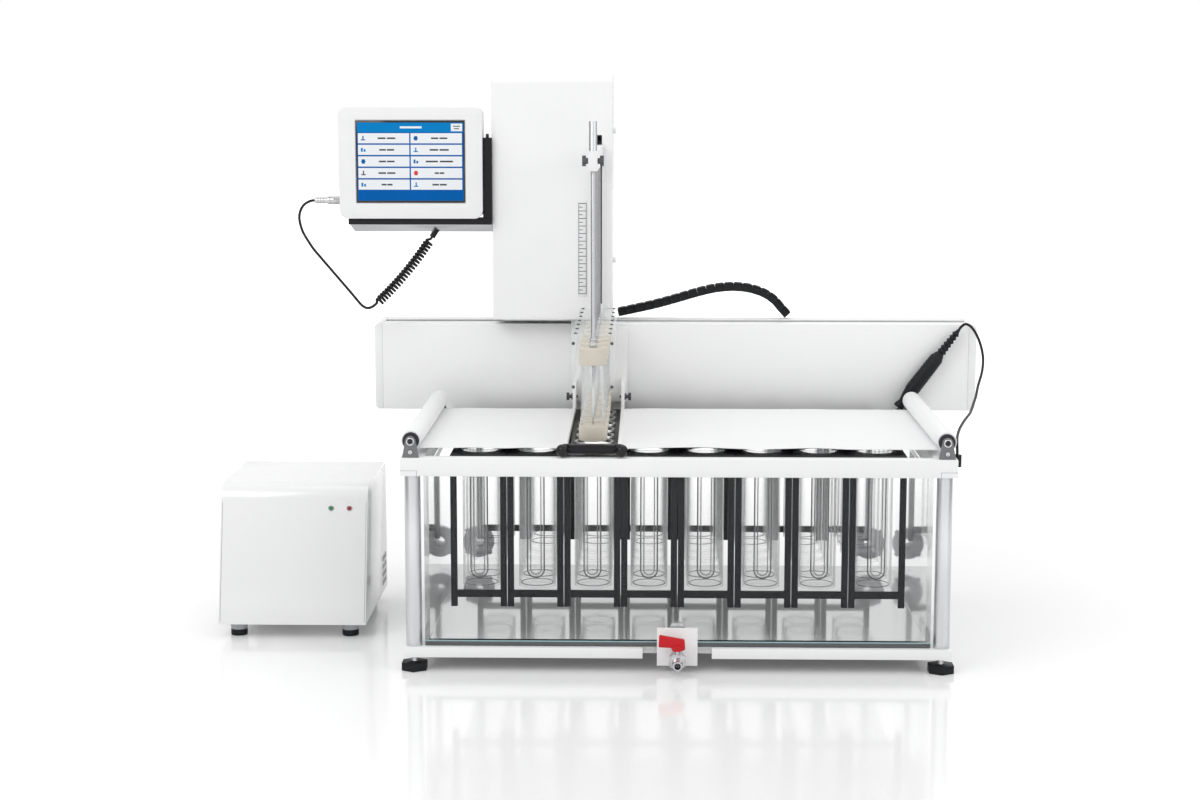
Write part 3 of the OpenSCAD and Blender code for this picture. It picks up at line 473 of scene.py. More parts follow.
class Finishes:
    """The finishes of this tester."""

    WHITE = Finish("white_powder_coat", "white_paint", (0.92, 0.922, 0.925), 0.42, coat=0.15, mottle=0.01)
    FRAME = Finish("frame_coat", "white_paint", (0.91, 0.912, 0.915), 0.40, coat=0.15, mottle=0.012)
    GLOSS = Finish("heater_gloss", "white_paint", (0.88, 0.882, 0.886), 0.16, coat=0.6, mottle=0.012)
    GREY = Finish("grey_coat", "grey_paint", (0.40, 0.41, 0.43), 0.38, mottle=0.05)
    BRACKET = Finish("bracket_coat", "grey_paint", (0.17, 0.175, 0.18), 0.34, mottle=0.08)
    # Painted shade: a flat dark grey for the shade under the base plate and under the front edge of the
    # tank's floor.
    SHADE = Finish("painted_gap_shade", "grey_paint", (0.12, 0.123, 0.127), 0.6, mottle=0.15, gloss=0.2)
    VENT = Finish("vent_shade", "grey_paint", (0.52, 0.53, 0.54), 0.5, mottle=0.05)
    SATIN = Finish(
        "satin_aluminium", "aluminium", (0.66, 0.67, 0.68), 0.30, 1.0, grain=Grain.BRUSHED,
        grain_size=0.0006, grain_height=0.00003,
    )
    BAR = Finish(
        "bar_aluminium", "aluminium", (0.40, 0.41, 0.42), 0.32, 1.0, grain=Grain.BRUSHED,
        grain_size=0.0006, grain_height=0.00003, along=(0.02, 1.0, 1.0),
    )
    STEEL = Finish(
        "drawn_steel", "steel", (0.56, 0.56, 0.57), 0.22, 1.0, grain=Grain.BRUSHED,
        grain_size=0.0005, grain_height=0.00002,
    )
    CHROME = Finish(
        "plated_brass", "chrome", (0.52, 0.52, 0.53), 0.09, 1.0, mottle=0.25, patch=0.006,
        grain=Grain.POLISHED, grain_height=0.00002,
    )
    BLACK = Finish(
        "black_moulding", "black_plastic", (0.012, 0.013, 0.015), 0.42, mottle=0.2,
        grain=Grain.MOULDED, grain_size=0.0012, gloss=0.2,
    )
    SHEET_BLACK = Finish("black_coat", "black_plastic", (0.012, 0.012, 0.014), 0.36, mottle=0.2, gloss=0.2)
    BALL = Finish(
        "black_ball", "black_gloss", (0.006, 0.006, 0.007), 0.10, mottle=0.2, gloss=0.35, vary=0.04,
        grain=Grain.POLISHED, grain_height=0.00001,
    )
    DARK = Finish(
        "oxide_metal", "dark_metal", (0.10, 0.10, 0.11), 0.35, 0.8, mottle=0.15, grain=Grain.POLISHED,
    )
    BEIGE = Finish(
        "beige_polymer", "beige_plastic", (0.66, 0.61, 0.52), 0.42, mottle=0.05,
        grain=Grain.MOULDED, grain_size=0.0009,
    )
    BEZEL = Finish(
        "white_bezel", "white_plastic", (0.87, 0.872, 0.875), 0.40, mottle=0.012,
        grain=Grain.MOULDED, grain_size=0.001, grain_height=0.00003,
    )
    FITTING = Finish(
        "grey_fitting", "grey_plastic", (0.30, 0.31, 0.33), 0.40, mottle=0.08,
        grain=Grain.MOULDED, grain_size=0.0012,
    )
    PLUG = Finish(
        "plum_plug", "dark_metal", (0.030, 0.027, 0.036), 0.35, mottle=0.15, grain=Grain.MOULDED,
        gloss=0.25,
    )
    CLOTH = Finish(
        "coated_blind", "blind_cloth", (0.90, 0.903, 0.907), 0.55, sheen=0.15, mottle=0.01,
        grain=Grain.WOVEN, grain_size=0.0011, grain_height=0.00008,
    )
    RED = Finish(
        "red_lever", "red_plastic", (0.60, 0.010, 0.018), 0.35, mottle=0.08,
        grain=Grain.MOULDED, grain_size=0.001, gloss=0.3,
    )
    LEAD = Finish(
        "black_lead", "cord", (0.010, 0.010, 0.011), 0.40, mottle=0.2, patch=0.02,
        grain=Grain.PEEL, grain_size=0.0008, gloss=0.25,
    )
    GLASS = ClearFinish(
        "vessel_glass", "clear", (0.90, 0.92, 0.92), patch=0.03, film=0.003, edge=0.9, bend=3.6,
        gloss=0.2,
    )
    TUBE = ClearFinish(
        "tube_glass", "clear", (0.90, 0.92, 0.92), patch=0.03, film=0.004, edge=1.0, bend=4.0,
        edge_colour=(0.02, 0.024, 0.028), gloss=0.05, reach=1.6,
    )
    CORNER = ClearFinish(
        "corner_glass", "clear", (0.30, 0.33, 0.34), patch=0.03, film=0.25, edge=0.6, bend=1.0,
        edge_colour=(0.10, 0.12, 0.125), gloss=0.1,
    )
    BOTTOM = ClearFinish(
        "bottom_glass", "clear", (0.92, 0.94, 0.94), patch=0.02, film=0.012, edge=0.20, bend=1.6,
        edge_colour=(0.80, 0.84, 0.85), gloss=0.3,
    )
    # Vessel rims: a paler, denser glass for the rims' thicker glass, with a painted highlight along them.
    RIM_GLASS_AND_HIGHLIGHT = ClearFinish(
        "rim_glass_and_painted_highlight", "clear", (0.86, 0.89, 0.89), patch=0.02, film=0.30, edge=0.55, bend=1.4,
        edge_colour=(0.50, 0.53, 0.53),
    )
    DIP_GLASS = ClearFinish("cylinder_glass_clear", "clear", (0.90, 0.92, 0.92), patch=0.03, film=0.016)
    ACRYLIC = ClearFinish(
        "tank_acrylic", "clear", (0.96, 0.985, 0.985), metal=1.0, patch=0.12, film=0.006, edge=0.95,
        bend=2.2, edge_colour=(0.95, 0.97, 0.97),
    )
    GUARD = ClearFinish(
        "guard_acrylic", "clear", (0.90, 0.95, 0.95), patch=0.12, film=0.012, edge=0.35, bend=3.5,
        edge_colour=(0.55, 0.66, 0.67),
    )
    POOL = Finish(
        "tank_floor_face", "clear", (0.82, 0.84, 0.84), 0.03, coat=1.0, mottle=0.02, patch=0.2,
        grain=Grain.POLISHED, grain_height=0.000002, vary=0.02,
    )
    EDGE = Finish(
        "acrylic_edge", "clear", (0.30, 0.48, 0.50), 0.12, mottle=0.15, patch=0.03,
        grain=Grain.POLISHED, coat=0.5,
    )
    PANEL = Finish("panel_glass", "screen", (0.006, 0.007, 0.010), 0.12, mottle=0.2, grain=Grain.POLISHED)
    BLUE = Finish("lit_blue", "screen", (0.001, 0.082, 0.30), 0.5, mottle=0.06, glow=0.35, gloss=0.05)
    SKY = Finish("lit_pale_blue", "screen", (0.002, 0.165, 0.43), 0.5, mottle=0.05, glow=0.3, gloss=0.05)
    KEY = Finish("lit_white", "screen", (0.68, 0.70, 0.72), 0.5, mottle=0.02, glow=0.25, gloss=0.05)
    INK = Finish("ink", "screen", (0.03, 0.035, 0.05), 0.4, mottle=0.1)
    RED_ICON = Finish("lit_red", "screen", (0.55, 0.02, 0.03), 0.4, mottle=0.05, glow=0.2)
    GREEN_LAMP = Finish("green_lamp", "screen", (0.02, 0.16, 0.05), 0.12, mottle=0.1, glow=0.25)
    RED_LAMP = Finish("red_lamp", "screen", (0.25, 0.012, 0.015), 0.12, mottle=0.1, glow=0.25)
    FLOOR = FloorFinish("studio_floor", "", (0.90, 0.90, 0.90), 0.10, patch=0.8, vary=0.02)


class Workbench:
    """Modelling steps that every sub-assembly shares, done with Blender's own operators."""

    ring_steps = (32, 10)
    level_angle = math.radians(0.6)

    def __init__(self, frame: dict) -> None:
        """Keeps the loaded frame and looks up which body each node rides on.
        """
        self.nodes = frame["nodes"]
        groups = frame["record"]["behaviour"]["bodies"]
        self.body_of = {node: body for body, members in groups.items() for node in members}

    def only(self, piece: Piece) -> None:
        """Leaves one object selected and active.

        Args:
            piece: That object.
        """
        active = bpy.context.view_layer.objects.active
        if active and active.mode != "OBJECT":
            bpy.ops.object.mode_set(mode="OBJECT")
        bpy.ops.object.select_all(action="DESELECT")
        piece.select_set(True)
        bpy.context.view_layer.objects.active = piece

    def settle(self, name: str) -> Piece:
        """Names the new primitive and moves its place into its mesh.

        Args:
            name: The piece's name.

        Returns:
            The piece.
        """
        piece = bpy.context.active_object
        piece.name = name
        self.only(piece)
        bpy.ops.object.transform_apply(location=True, rotation=True, scale=True)
        return piece

    def block(self, name: str, low: Vector, high: Vector) -> Piece:
        """A box between two corners.

        Args:
            name: The piece's name.
            low: Its lowest corner.
            high: Its highest corner.

        Returns:
            The piece.
        """
        bpy.ops.object.select_all(action="DESELECT")
        bpy.ops.mesh.primitive_cube_add(size=1, location=(low + high) / 2)
        bpy.context.active_object.scale = high - low
        return self.settle(name)

    def rod(self, name: str, start: Vector, end: Vector, radius: float, sides: int = 32) -> Piece:
        """A round bar between two points.

        Args:
            name: The piece's name.
            start: Middle of its first end.
            end: Middle of its other end.
            radius: Its radius.
            sides: Number of its sides.

        Returns:
            The piece.
        """
        bpy.ops.object.select_all(action="DESELECT")
        way = end - start
        bpy.ops.mesh.primitive_cylinder_add(
            vertices=sides,
            radius=radius,
            depth=way.length,
            location=(start + end) / 2,
            rotation=way.to_track_quat("Z", "Y").to_euler(),
        )
        return self.settle(name)

    def ring(self, name: str, middle: Vector, way: Vector, radius: float, wire: float) -> Piece:
        """A round ring.

        Args:
            name: The piece's name.
            middle: Its middle.
            way: Its axis.
            radius: Radius of its middle line.
            wire: Radius of its section.

        Returns:
            The piece.
        """
        bpy.ops.object.select_all(action="DESELECT")
        bpy.ops.mesh.primitive_torus_add(
            location=middle,
            rotation=way.to_track_quat("Z", "Y").to_euler(),
            major_radius=radius,
            minor_radius=wire,
            major_segments=self.ring_steps[0],
            minor_segments=self.ring_steps[1],
        )
        return self.settle(name)

    def outline(self, name: str, corners: Sequence[Sequence[float]], fill: str) -> Piece:
        """A flat shape through some corners.

        Args:
            name: The piece's name.
            corners: Its corners, in order.
            fill: NGON for a face, NOTHING for its line alone.

        Returns:
            The piece.
        """
        bpy.ops.object.select_all(action="DESELECT")
        bpy.ops.mesh.primitive_circle_add(vertices=len(corners), radius=0.01, fill_type=fill)
        piece = self.settle(name)
        for vertex, corner in zip(piece.data.vertices, corners):
            vertex.co = corner
        return piece

    def pick(self, piece: Piece, test: Test) -> int:
        """Opens edit mode with some faces selected.

        Args:
            piece: The piece.
            test: Says from a face's centre and normal whether it is wanted.

        Returns:
            How many faces are selected.
        """
        self.only(piece)
        bpy.ops.object.mode_set(mode="EDIT")
        bpy.ops.mesh.select_mode(type="FACE")
        bpy.ops.mesh.select_all(action="DESELECT")
        bpy.ops.object.mode_set(mode="OBJECT")
        for face in piece.data.polygons:
            face.select = bool(test(face.center, face.normal))
        count = sum(face.select for face in piece.data.polygons)
        bpy.ops.object.mode_set(mode="EDIT")
        return count

    def done(self) -> None:
        """Leaves edit mode."""
        bpy.ops.object.mode_set(mode="OBJECT")

    def sink(self, piece: Piece, test: Test, rim: float, depth: float) -> None:
        """Insets some faces and pushes them along their normals.

        Args:
            piece: The piece.
            test: Which faces.
            rim: Width of the rim that stays.
            depth: How far the inset faces go out, or in where it is negative.
        """
        if self.pick(piece, test):
            bpy.ops.mesh.inset(thickness=rim, depth=depth, use_individual=True)
        self.done()

    def raise_faces(self, piece: Piece, test: Test, height: float) -> None:
        """Extrudes some faces, each along its own normal.

        Args:
            piece: The piece.
            test: Which faces.
            height: How far they go out.
        """
        if self.pick(piece, test):
            bpy.ops.mesh.extrude_faces_move(TRANSFORM_OT_shrink_fatten={"value": height})
        self.done()

    def alter(self, piece: Piece, kind: str, **settings: object) -> None:
        """Adds a modifier and applies it.

        Args:
            piece: The piece.
            kind: The modifier's type.
            settings: The modifier's settings.
        """
        self.only(piece)
        modifier = piece.modifiers.new(kind, kind)
        for key, value in settings.items():
            setattr(modifier, key, value)
        bpy.ops.object.modifier_apply(modifier=modifier.name)

    def ease(self, piece: Piece, width: float, steps: int = 2, angle: float = 32.0) -> None:
        """Rounds a piece's sharp edges and shades the rest smoothly.

        Args:
            piece: The piece.
            width: Width of the rounding in millimetres.
            steps: Number of faces across the rounding.
            angle: Edges sharper than this, in degrees, are rounded.
        """
        if width:
            self.alter(
                piece, "BEVEL", width=width / 1000, segments=steps, limit_method="ANGLE",
                angle_limit=math.radians(angle), use_clamp_overlap=True,
            )
        self.only(piece)
        bpy.ops.object.shade_smooth_by_angle(angle=math.radians(angle))

    def cast(self, node: str, name: str, width: float, steps: int = 2, flat: bool = True) -> Piece:
        """A finished copy of a CAD node: merged, with rounded edges.

        Args:
            node: The node.
            name: The piece's name.
            width: Width of the rounding in millimetres.
            steps: Number of faces across the rounding.
            flat: Whether level triangles become one face first.

        Returns:
            The piece.
        """
        source = self.nodes[node]
        piece = bpy.data.objects.new(name, source.data.copy())
        bpy.context.scene.collection.objects.link(piece)
        self.only(piece)
        bpy.ops.object.mode_set(mode="EDIT")
        bpy.ops.mesh.select_all(action="SELECT")
        bpy.ops.mesh.remove_doubles(threshold=MERGE)
        bpy.ops.mesh.customdata_custom_splitnormals_clear()
        if flat:
            bpy.ops.mesh.dissolve_limited(angle_limit=self.level_angle)
        self.done()
        self.ease(piece, width, steps)
        return piece

    def dress(self, piece: Piece, finish: Finish) -> Piece:
        """Gives a piece one finish all over.

        Args:
            piece: The piece.
            finish: Its finish.

        Returns:
            The piece.
        """
        piece.data.materials.clear()
        piece.data.materials.append(finish.material())
        if piece.type == "MESH":
            for face in piece.data.polygons:
                face.material_index = 0
        return piece

    def paint(self, piece: Piece, finish: Finish, test: Test) -> None:
        """Gives some of a piece's faces another finish.

        Args:
            piece: The piece.
            finish: Their finish.
            test: Says from a face's centre in bath millimetres and its normal whether it is one.
        """
        piece.data.materials.append(finish.material())
        last = len(piece.data.materials) - 1
        for face in piece.data.polygons:
            if test(bath(face.center), face.normal):
                face.material_index = last

    def copy(self, piece: Piece, name: str, matrix: Matrix) -> Piece:
        """A moved copy with its own mesh.

        Args:
            piece: What is copied.
            name: The copy's name.
            matrix: How its mesh is moved.

        Returns:
            The copy.
        """
        made = bpy.data.objects.new(name, piece.data.copy())
        bpy.context.scene.collection.objects.link(made)
        made.data.transform(matrix)
        return made

    def join(self, name: str, pieces: Sequence[Piece]) -> Piece:
        """Makes several pieces one.

        Args:
            name: The new piece's name.
            pieces: What it is made of.

        Returns:
            The piece.
        """
        self.only(pieces[0])
        for piece in pieces:
            piece.select_set(True)
        bpy.ops.object.join()
        made = bpy.context.active_object
        made.name = name
        return made

    def hand_in(self, piece: Piece, body: str, *stands_for: str) -> Piece:
        """Puts a finished piece on its body, in place of the CAD nodes it stands for.

        Args:
            piece: The piece.
            body: The body it rides on.
            stands_for: The nodes that it replaces.

        Returns:
            The piece.
        """
        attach(piece, body)
        if stands_for:
            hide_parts(*stands_for)
        faces = len(getattr(piece.data, "polygons", ()))
        LOG.info("%s rides on %s: %d faces", piece.name, body, faces)
        return piece


@dataclass(frozen=True)
class Casting:
    """A CAD node whose shape is right and that only gets rounded edges and a finish."""

    node: str
    finish: Finish
    edge: float = 0.8
    steps: int = 2
    flat: bool = True

    def make(self, bench: Workbench) -> Piece:
        """The dressed piece.

        Args:
            bench: Modelling steps.

        Returns:
            The piece, on its body.
        """
        piece = bench.cast(self.node, self.node + "_skin", self.edge, self.steps, self.flat)
        bench.dress(piece, self.finish)
        return bench.hand_in(piece, bench.body_of[self.node], self.node)


@dataclass
class Assembly:
    """What every sub-assembly shares: modelling steps, its dressed CAD shapes and what is made of them."""

    # A screw's head, for each metre of its radius: three lengths in metres, its rounding in millimetres.
    head_height = 0.7
    socket_rim = 0.45
    socket_depth = 0.4
    head_edge = 120

    bench: Workbench
    castings: tuple[Casting, ...] = ()
    pieces: dict[str, Piece] = field(default_factory=dict)

    def cast_all(self) -> None:
        """Makes the sub-assembly's dressed CAD shapes."""
        for casting in self.castings:
            self.pieces[casting.node] = casting.make(self.bench)

    def screw(self, name: str, head: Vector, way: Vector, radius: float, finish: Finish) -> Piece:
        """A socket-head screw.

        Args:
            name: The piece's name.
            head: Middle of the head's seat.
            way: Direction that the head faces.
            radius: The head's radius.
            finish: Its finish.

        Returns:
            The piece, not yet on a body.
        """
        bench = self.bench
        top = facing(way)
        depth = -radius * self.socket_depth
        piece = bench.rod(name, head, head + way * radius * self.head_height, radius, 24)
        bench.sink(piece, top, radius * self.socket_rim, 0.0)
        bench.sink(piece, lambda c, n: top(c, n) and (c - head).length < radius, 0.0001, depth)
        bench.ease(piece, radius * self.head_edge, 2)
        return bench.dress(piece, finish)

    def band(
        self, name: str, middle: Vector, way: Sequence[float], sizes: Pair, finish: Finish,
    ) -> Piece:
        """A smooth, dressed ring.

        Args:
            name: The piece's name.
            middle: Its middle.
            way: Its axis.
            sizes: Radius of its middle line and of its section.
            finish: Its finish.

        Returns:
            The piece, not yet on a body.
        """
        ring = self.bench.ring(name, middle, Vector(way), *sizes)
        self.bench.ease(ring, 0)
        return self.bench.dress(ring, finish)

    def strip(self, name: str, low: Vector, high: Vector, edge: float, finish: Finish) -> Piece:
        """A thin, dressed strip or line with eased edges.

        Args:
            name: The piece's name.
            low: Its lowest corner.
            high: Its highest corner.
            edge: Width of its rounding in millimetres.
            finish: Its finish.

        Returns:
            The piece, not yet on a body.
        """
        piece = self.bench.block(name, low, high)
        self.bench.ease(piece, edge, 1)
        return self.bench.dress(piece, finish)

    def group(self, name: str, parts: Sequence[Piece], body: str, *stands_for: str) -> None:
        """Joins some parts to one piece and puts it on its body.

        Args:
            name: The piece's name.
            parts: What it is made of.
            body: The body it rides on.
            stands_for: The nodes that it replaces.
        """
        self.bench.hand_in(self.bench.join(name, parts), body, *stands_for)


@dataclass(frozen=True)
class Studio:
    """Camera, lamps, world and floor.

    Attributes:
        place: Where the camera stands.
        turn: How it is turned, in radians.
        lens: Its focal length, in millimetres.
        sensor: Width of its sensor, in millimetres.
        sight: How far it sees.
        bounces: How many glass walls light may cross.
        target: What the lamps face.
        hung: Name, place, side and power of each lamp.
        flag_reach: How far to the side the dark flags begin and are full.
        flag_levels: Light of the backdrop and of the flags.
        soft_light: Light of the backdrop on dull surfaces.
        floor_radius: Radius of the floor.
    """

    place: Point = (0.0561, -2.9976, 0.764)
    turn: Point = (math.pi / 2 - 0.14333, 0.0, 0.02256)
    lens: float = 63.9
    sensor: float = 36.0
    sight: float = 60.0
    bounces: int = 64
    target: Point = (0.0, 0.0, 0.35)
    hung: tuple[tuple[str, Point, float, float], ...] = (
        ("key_lamp", (-1.7, -2.0, 2.3), 1.6, 22),
        ("side_lamp", (2.2, -1.2, 1.5), 1.4, 8),
        ("top_lamp", (0.2, 0.3, 2.6), 1.8, 8),
    )
    flag_reach: Pair = (0.62, 0.97)
    flag_levels: Pair = (1.0, 0.30)
    soft_light: float = 0.80
    floor_radius: float = 14.0

    def camera(self) -> None:
        """Sets the camera at the photograph's viewing angle."""
        data = bpy.data.cameras.new("camera")
        data.lens = self.lens
        data.sensor_width = self.sensor
        data.clip_end = self.sight
        camera = bpy.data.objects.new("camera", data)
        camera.location = self.place
        camera.rotation_euler = self.turn
        bpy.context.scene.collection.objects.link(camera)
        bpy.context.scene.camera = camera
        bpy.context.scene.view_settings.view_transform = "Standard"

    def light_paths(self) -> None:
        """Lets light cross the many glass walls of the bath."""
        cycles = bpy.context.scene.cycles
        cycles.max_bounces = self.bounces
        cycles.transmission_bounces = self.bounces
        cycles.transparent_max_bounces = self.bounces

    def lamp(self, name: str, place: Vector, size: float, power: float) -> None:
        """A square soft lamp that faces the tester.

        Args:
            name: The lamp's name.
            place: Where it hangs.
            size: Length of its side.
            power: Its power in watts.
        """
        data = bpy.data.lights.new(name, "AREA")
        data.size = size
        data.energy = power
        lamp = bpy.data.objects.new(name, data)
        lamp.location = place
        lamp.rotation_euler = (Vector(self.target) - place).to_track_quat("-Z", "Y").to_euler()
        bpy.context.scene.collection.objects.link(lamp)

    def lamps(self) -> None:
        """Hangs the soft lamps of the studio."""
        for name, place, size, power in self.hung:
            self.lamp(name, Vector(place), size, power)

    def world(self) -> None:
        """A white backdrop that lights softly and shows darker flags at its sides in gloss."""
        world = bpy.data.worlds.new("studio")
        bpy.context.scene.world = world
        world.use_nodes = True
        net = Net(world.node_tree)
        way = net.node("ShaderNodeTexCoord", out="Generated")
        across = net.node("ShaderNodeSeparateXYZ", inputs={0: way}, out="X")
        flags = net.step(abs(across), self.flag_reach, self.flag_levels)
        gloss = net.ray("Glossy")
        seen = net.ray("Camera").math("MAXIMUM", net.ray("Transmission"))
        level = gloss * flags + (1 - gloss) * self.soft_light
        strength = seen + (1 - seen) * level
        back = net.node("ShaderNodeBackground", inputs={"Color": (1, 1, 1, 1), "Strength": strength})
        net.node("ShaderNodeOutputWorld", inputs={"Surface": back})

    def floor(self) -> None:
        """A pale glossy floor."""
        bpy.ops.object.select_all(action="DESELECT")
        bpy.ops.mesh.primitive_circle_add(vertices=64, radius=self.floor_radius, fill_type="NGON")
        floor = bpy.context.active_object
        floor.name = "floor"
        floor.data.materials.append(Finishes.FLOOR.material())


def smooth_route(points: Sequence[Vector], steps: int = 4) -> list[Vector]:
    """Points on a smooth curve through a route.

    Args:
        points: The route.
        steps: Points in each stretch.

    Returns:
        The finer route.
    """
    fine: list[Vector] = []
    last = len(points) - 1
    for i in range(last):
        before, here = points[max(i - 1, 0)], points[i]
        ahead, after = points[i + 1], points[min(i + 2, last)]
        for k in range(steps):
            t = k / steps
            fine.append(
                here
                + 0.5 * t * (ahead - before)
                + t * t * (before - 2.5 * here + 2 * ahead - 0.5 * after)
                + t * t * t * (1.5 * (here - ahead) + 0.5 * (after - before))
            )
    fine.append(points[last])
    return fine


def route_length(points: Sequence[Vector]) -> float:
    """Length of a line through some points."""
    return sum((b - a).length for a, b in zip(points, points[1:]))


@dataclass
class Cords(Assembly):
    """The display's curly cord and the probe's cable, in bath millimetres.

    Attributes:
        diameter: Diameter of both, in metres.
        corner: Where the free cord's and the curls' points count from, across and up.
        cord_y: How far back the display's cord hangs.
        free: The free cord's points, from the plug to the curls.
        axis: The four guide points of the curls' middle line.
        curls: Number of curls.
        curl_radius: Radius of their middle line.
        turn_points: Points in each curl.
        lead_in: Share of the curls' line that is straight at each end.
        swell_in: Share of it over which the curls grow to their full radius.
        probe_end: Where the probe's cable leaves its strain relief.
        cable_corner: Where the cable's points count from, across and up.
        cable: The cable's points, from the strain relief to its socket.
    """

    diameter: float = 0.004
    corner: Pair = (-495.25, 580.0)
    cord_y: float = 405.0
    free: tuple[Pair, ...] = (
        (-38.75, 26), (-45.75, 25), (-54.75, 20), (-60.75, 11), (-62.75, 0), (-60.75, -12),
        (-56.75, -23), (-49.75, -35), (-41.75, -47), (-31.75, -59), (-20.75, -72), (-9.75, -85),
        (1.25, -98), (12.25, -111), (21.25, -122), (28.25, -130), (35.25, -134), (42.25, -133),
        (48.25, -129),
    )
    axis: tuple[Pair, ...] = ((48.25, -129), (78.25, -103), (111.25, -64), (134.25, -28))
    curls: int = 24
    curl_radius: float = 5.8
    turn_points: int = 16
    lead_in: float = 0.02
    swell_in: float = 0.06
    probe_end: tuple[Point, ...] = ((424.475, 424.0, 413.393), (428.086, 424.0, 418.184))
    cable_corner: Pair = (366.0, 289.0)
    cable: tuple[Point, ...] = (
        (68, 423, 133), (76, 421, 129), (84, 416, 117), (89, 405, 101), (90, 390, 85),
        (86, 370, 70), (80, 350, 60), (74, 330, 52), (67, 300, 42), (59, 270, 35),
        (48, 225, 29), (38, 195, 26), (28, 165, 22), (20, 138, 18), (14, 112, 13),
        (11, 92, 8), (10, 84, 3), (10, 82, -2), (10, 82, -7),
    )

    def curve(self, name: str, points: Sequence[Vector]) -> Piece:
        """A round cord along some points.

        Args:
            name: The piece's name.
            points: Its middle line.

        Returns:
            The cord, dressed.
        """
        data = bpy.data.curves.new(name, "CURVE")
        data.dimensions = "3D"
        data.bevel_depth = self.diameter / 2
        data.bevel_resolution = 3
        data.use_fill_caps = True
        spline = data.splines.new("POLY")
        spline.points.add(len(points) - 1)
        for point, place in zip(spline.points, points):
            point.co = (*place, 1)
        spline.use_smooth = True
        cord = bpy.data.objects.new(name, data)
        bpy.context.scene.collection.objects.link(cord)
        return self.bench.dress(cord, Finishes.LEAD)

    def middle_line(self, t: float) -> Vector:
        """A point of the curls' middle line, in bath millimetres.

        Args:
            t: Share of the way from the free cord to the gland.

        Returns:
            The point.
        """
        shares = ((1 - t) ** 3, 3 * t * (1 - t) ** 2, 3 * t * t * (1 - t), t**3)
        x = sum(share * point[0] for share, point in zip(shares, self.axis))
        z = sum(share * point[1] for share, point in zip(shares, self.axis))
        return Vector((self.corner[0] + x, self.cord_y, self.corner[1] + z))

    def curl_points(self) -> list[Vector]:
        """The wound stretch from the free cord to the gland.

        Returns:
            Its points in the model's frame.
        """
        ends = [at(*self.middle_line(t)) for t in (0.004, 0.012, 0.988, 1.0)]
        line = ends[:2]
        count = self.curls * self.turn_points
        back = Vector((0, 1, 0))
        span = 1 - 2 * self.lead_in
        for i in range(2, count - 1):
            t = self.lead_in + span * i / count
            way = (self.middle_line(min(t + 0.01, 1)) - self.middle_line(max(t - 0.01, 0))).normalized()
            side = way.cross(back)
            ramp = min(1.0, max(0.0, min(t - self.lead_in, 1 - self.lead_in - t) / self.swell_in))
            swell = ramp * ramp * (3 - 2 * ramp)
            held = min(max(t, self.swell_in), 1 - self.swell_in)
            angle = 2 * math.pi * self.curls * (held - self.lead_in) / span
            offset = (math.cos(angle) * side + math.sin(angle) * back) * self.curl_radius * swell
            line.append(at(*(self.middle_line(t) + offset)))
        return line + ends[2:]

    def build(self) -> None:
        """Makes both cords and puts them on their bodies."""
        route = [at(self.corner[0] + x, self.cord_y, self.corner[1] + z) for x, z in self.free]
        line = smooth_route(route, 3) + self.curl_points()
        line.reverse()
        lead = self.curve("display_lead", line)
        self.bench.hand_in(lead, "carriage", "display_cord", "display_curls")
        route_length(line)
        right, top = self.cable_corner
        way = [at(*point) for point in self.probe_end]
        way += [at(right + x, y, top + z) for x, y, z in self.cable]
        line = smooth_route(way, 3)
        cable = self.curve("probe_lead", line)
        self.bench.hand_in(cable, "bath", "probe_cable")
        route_length(line)


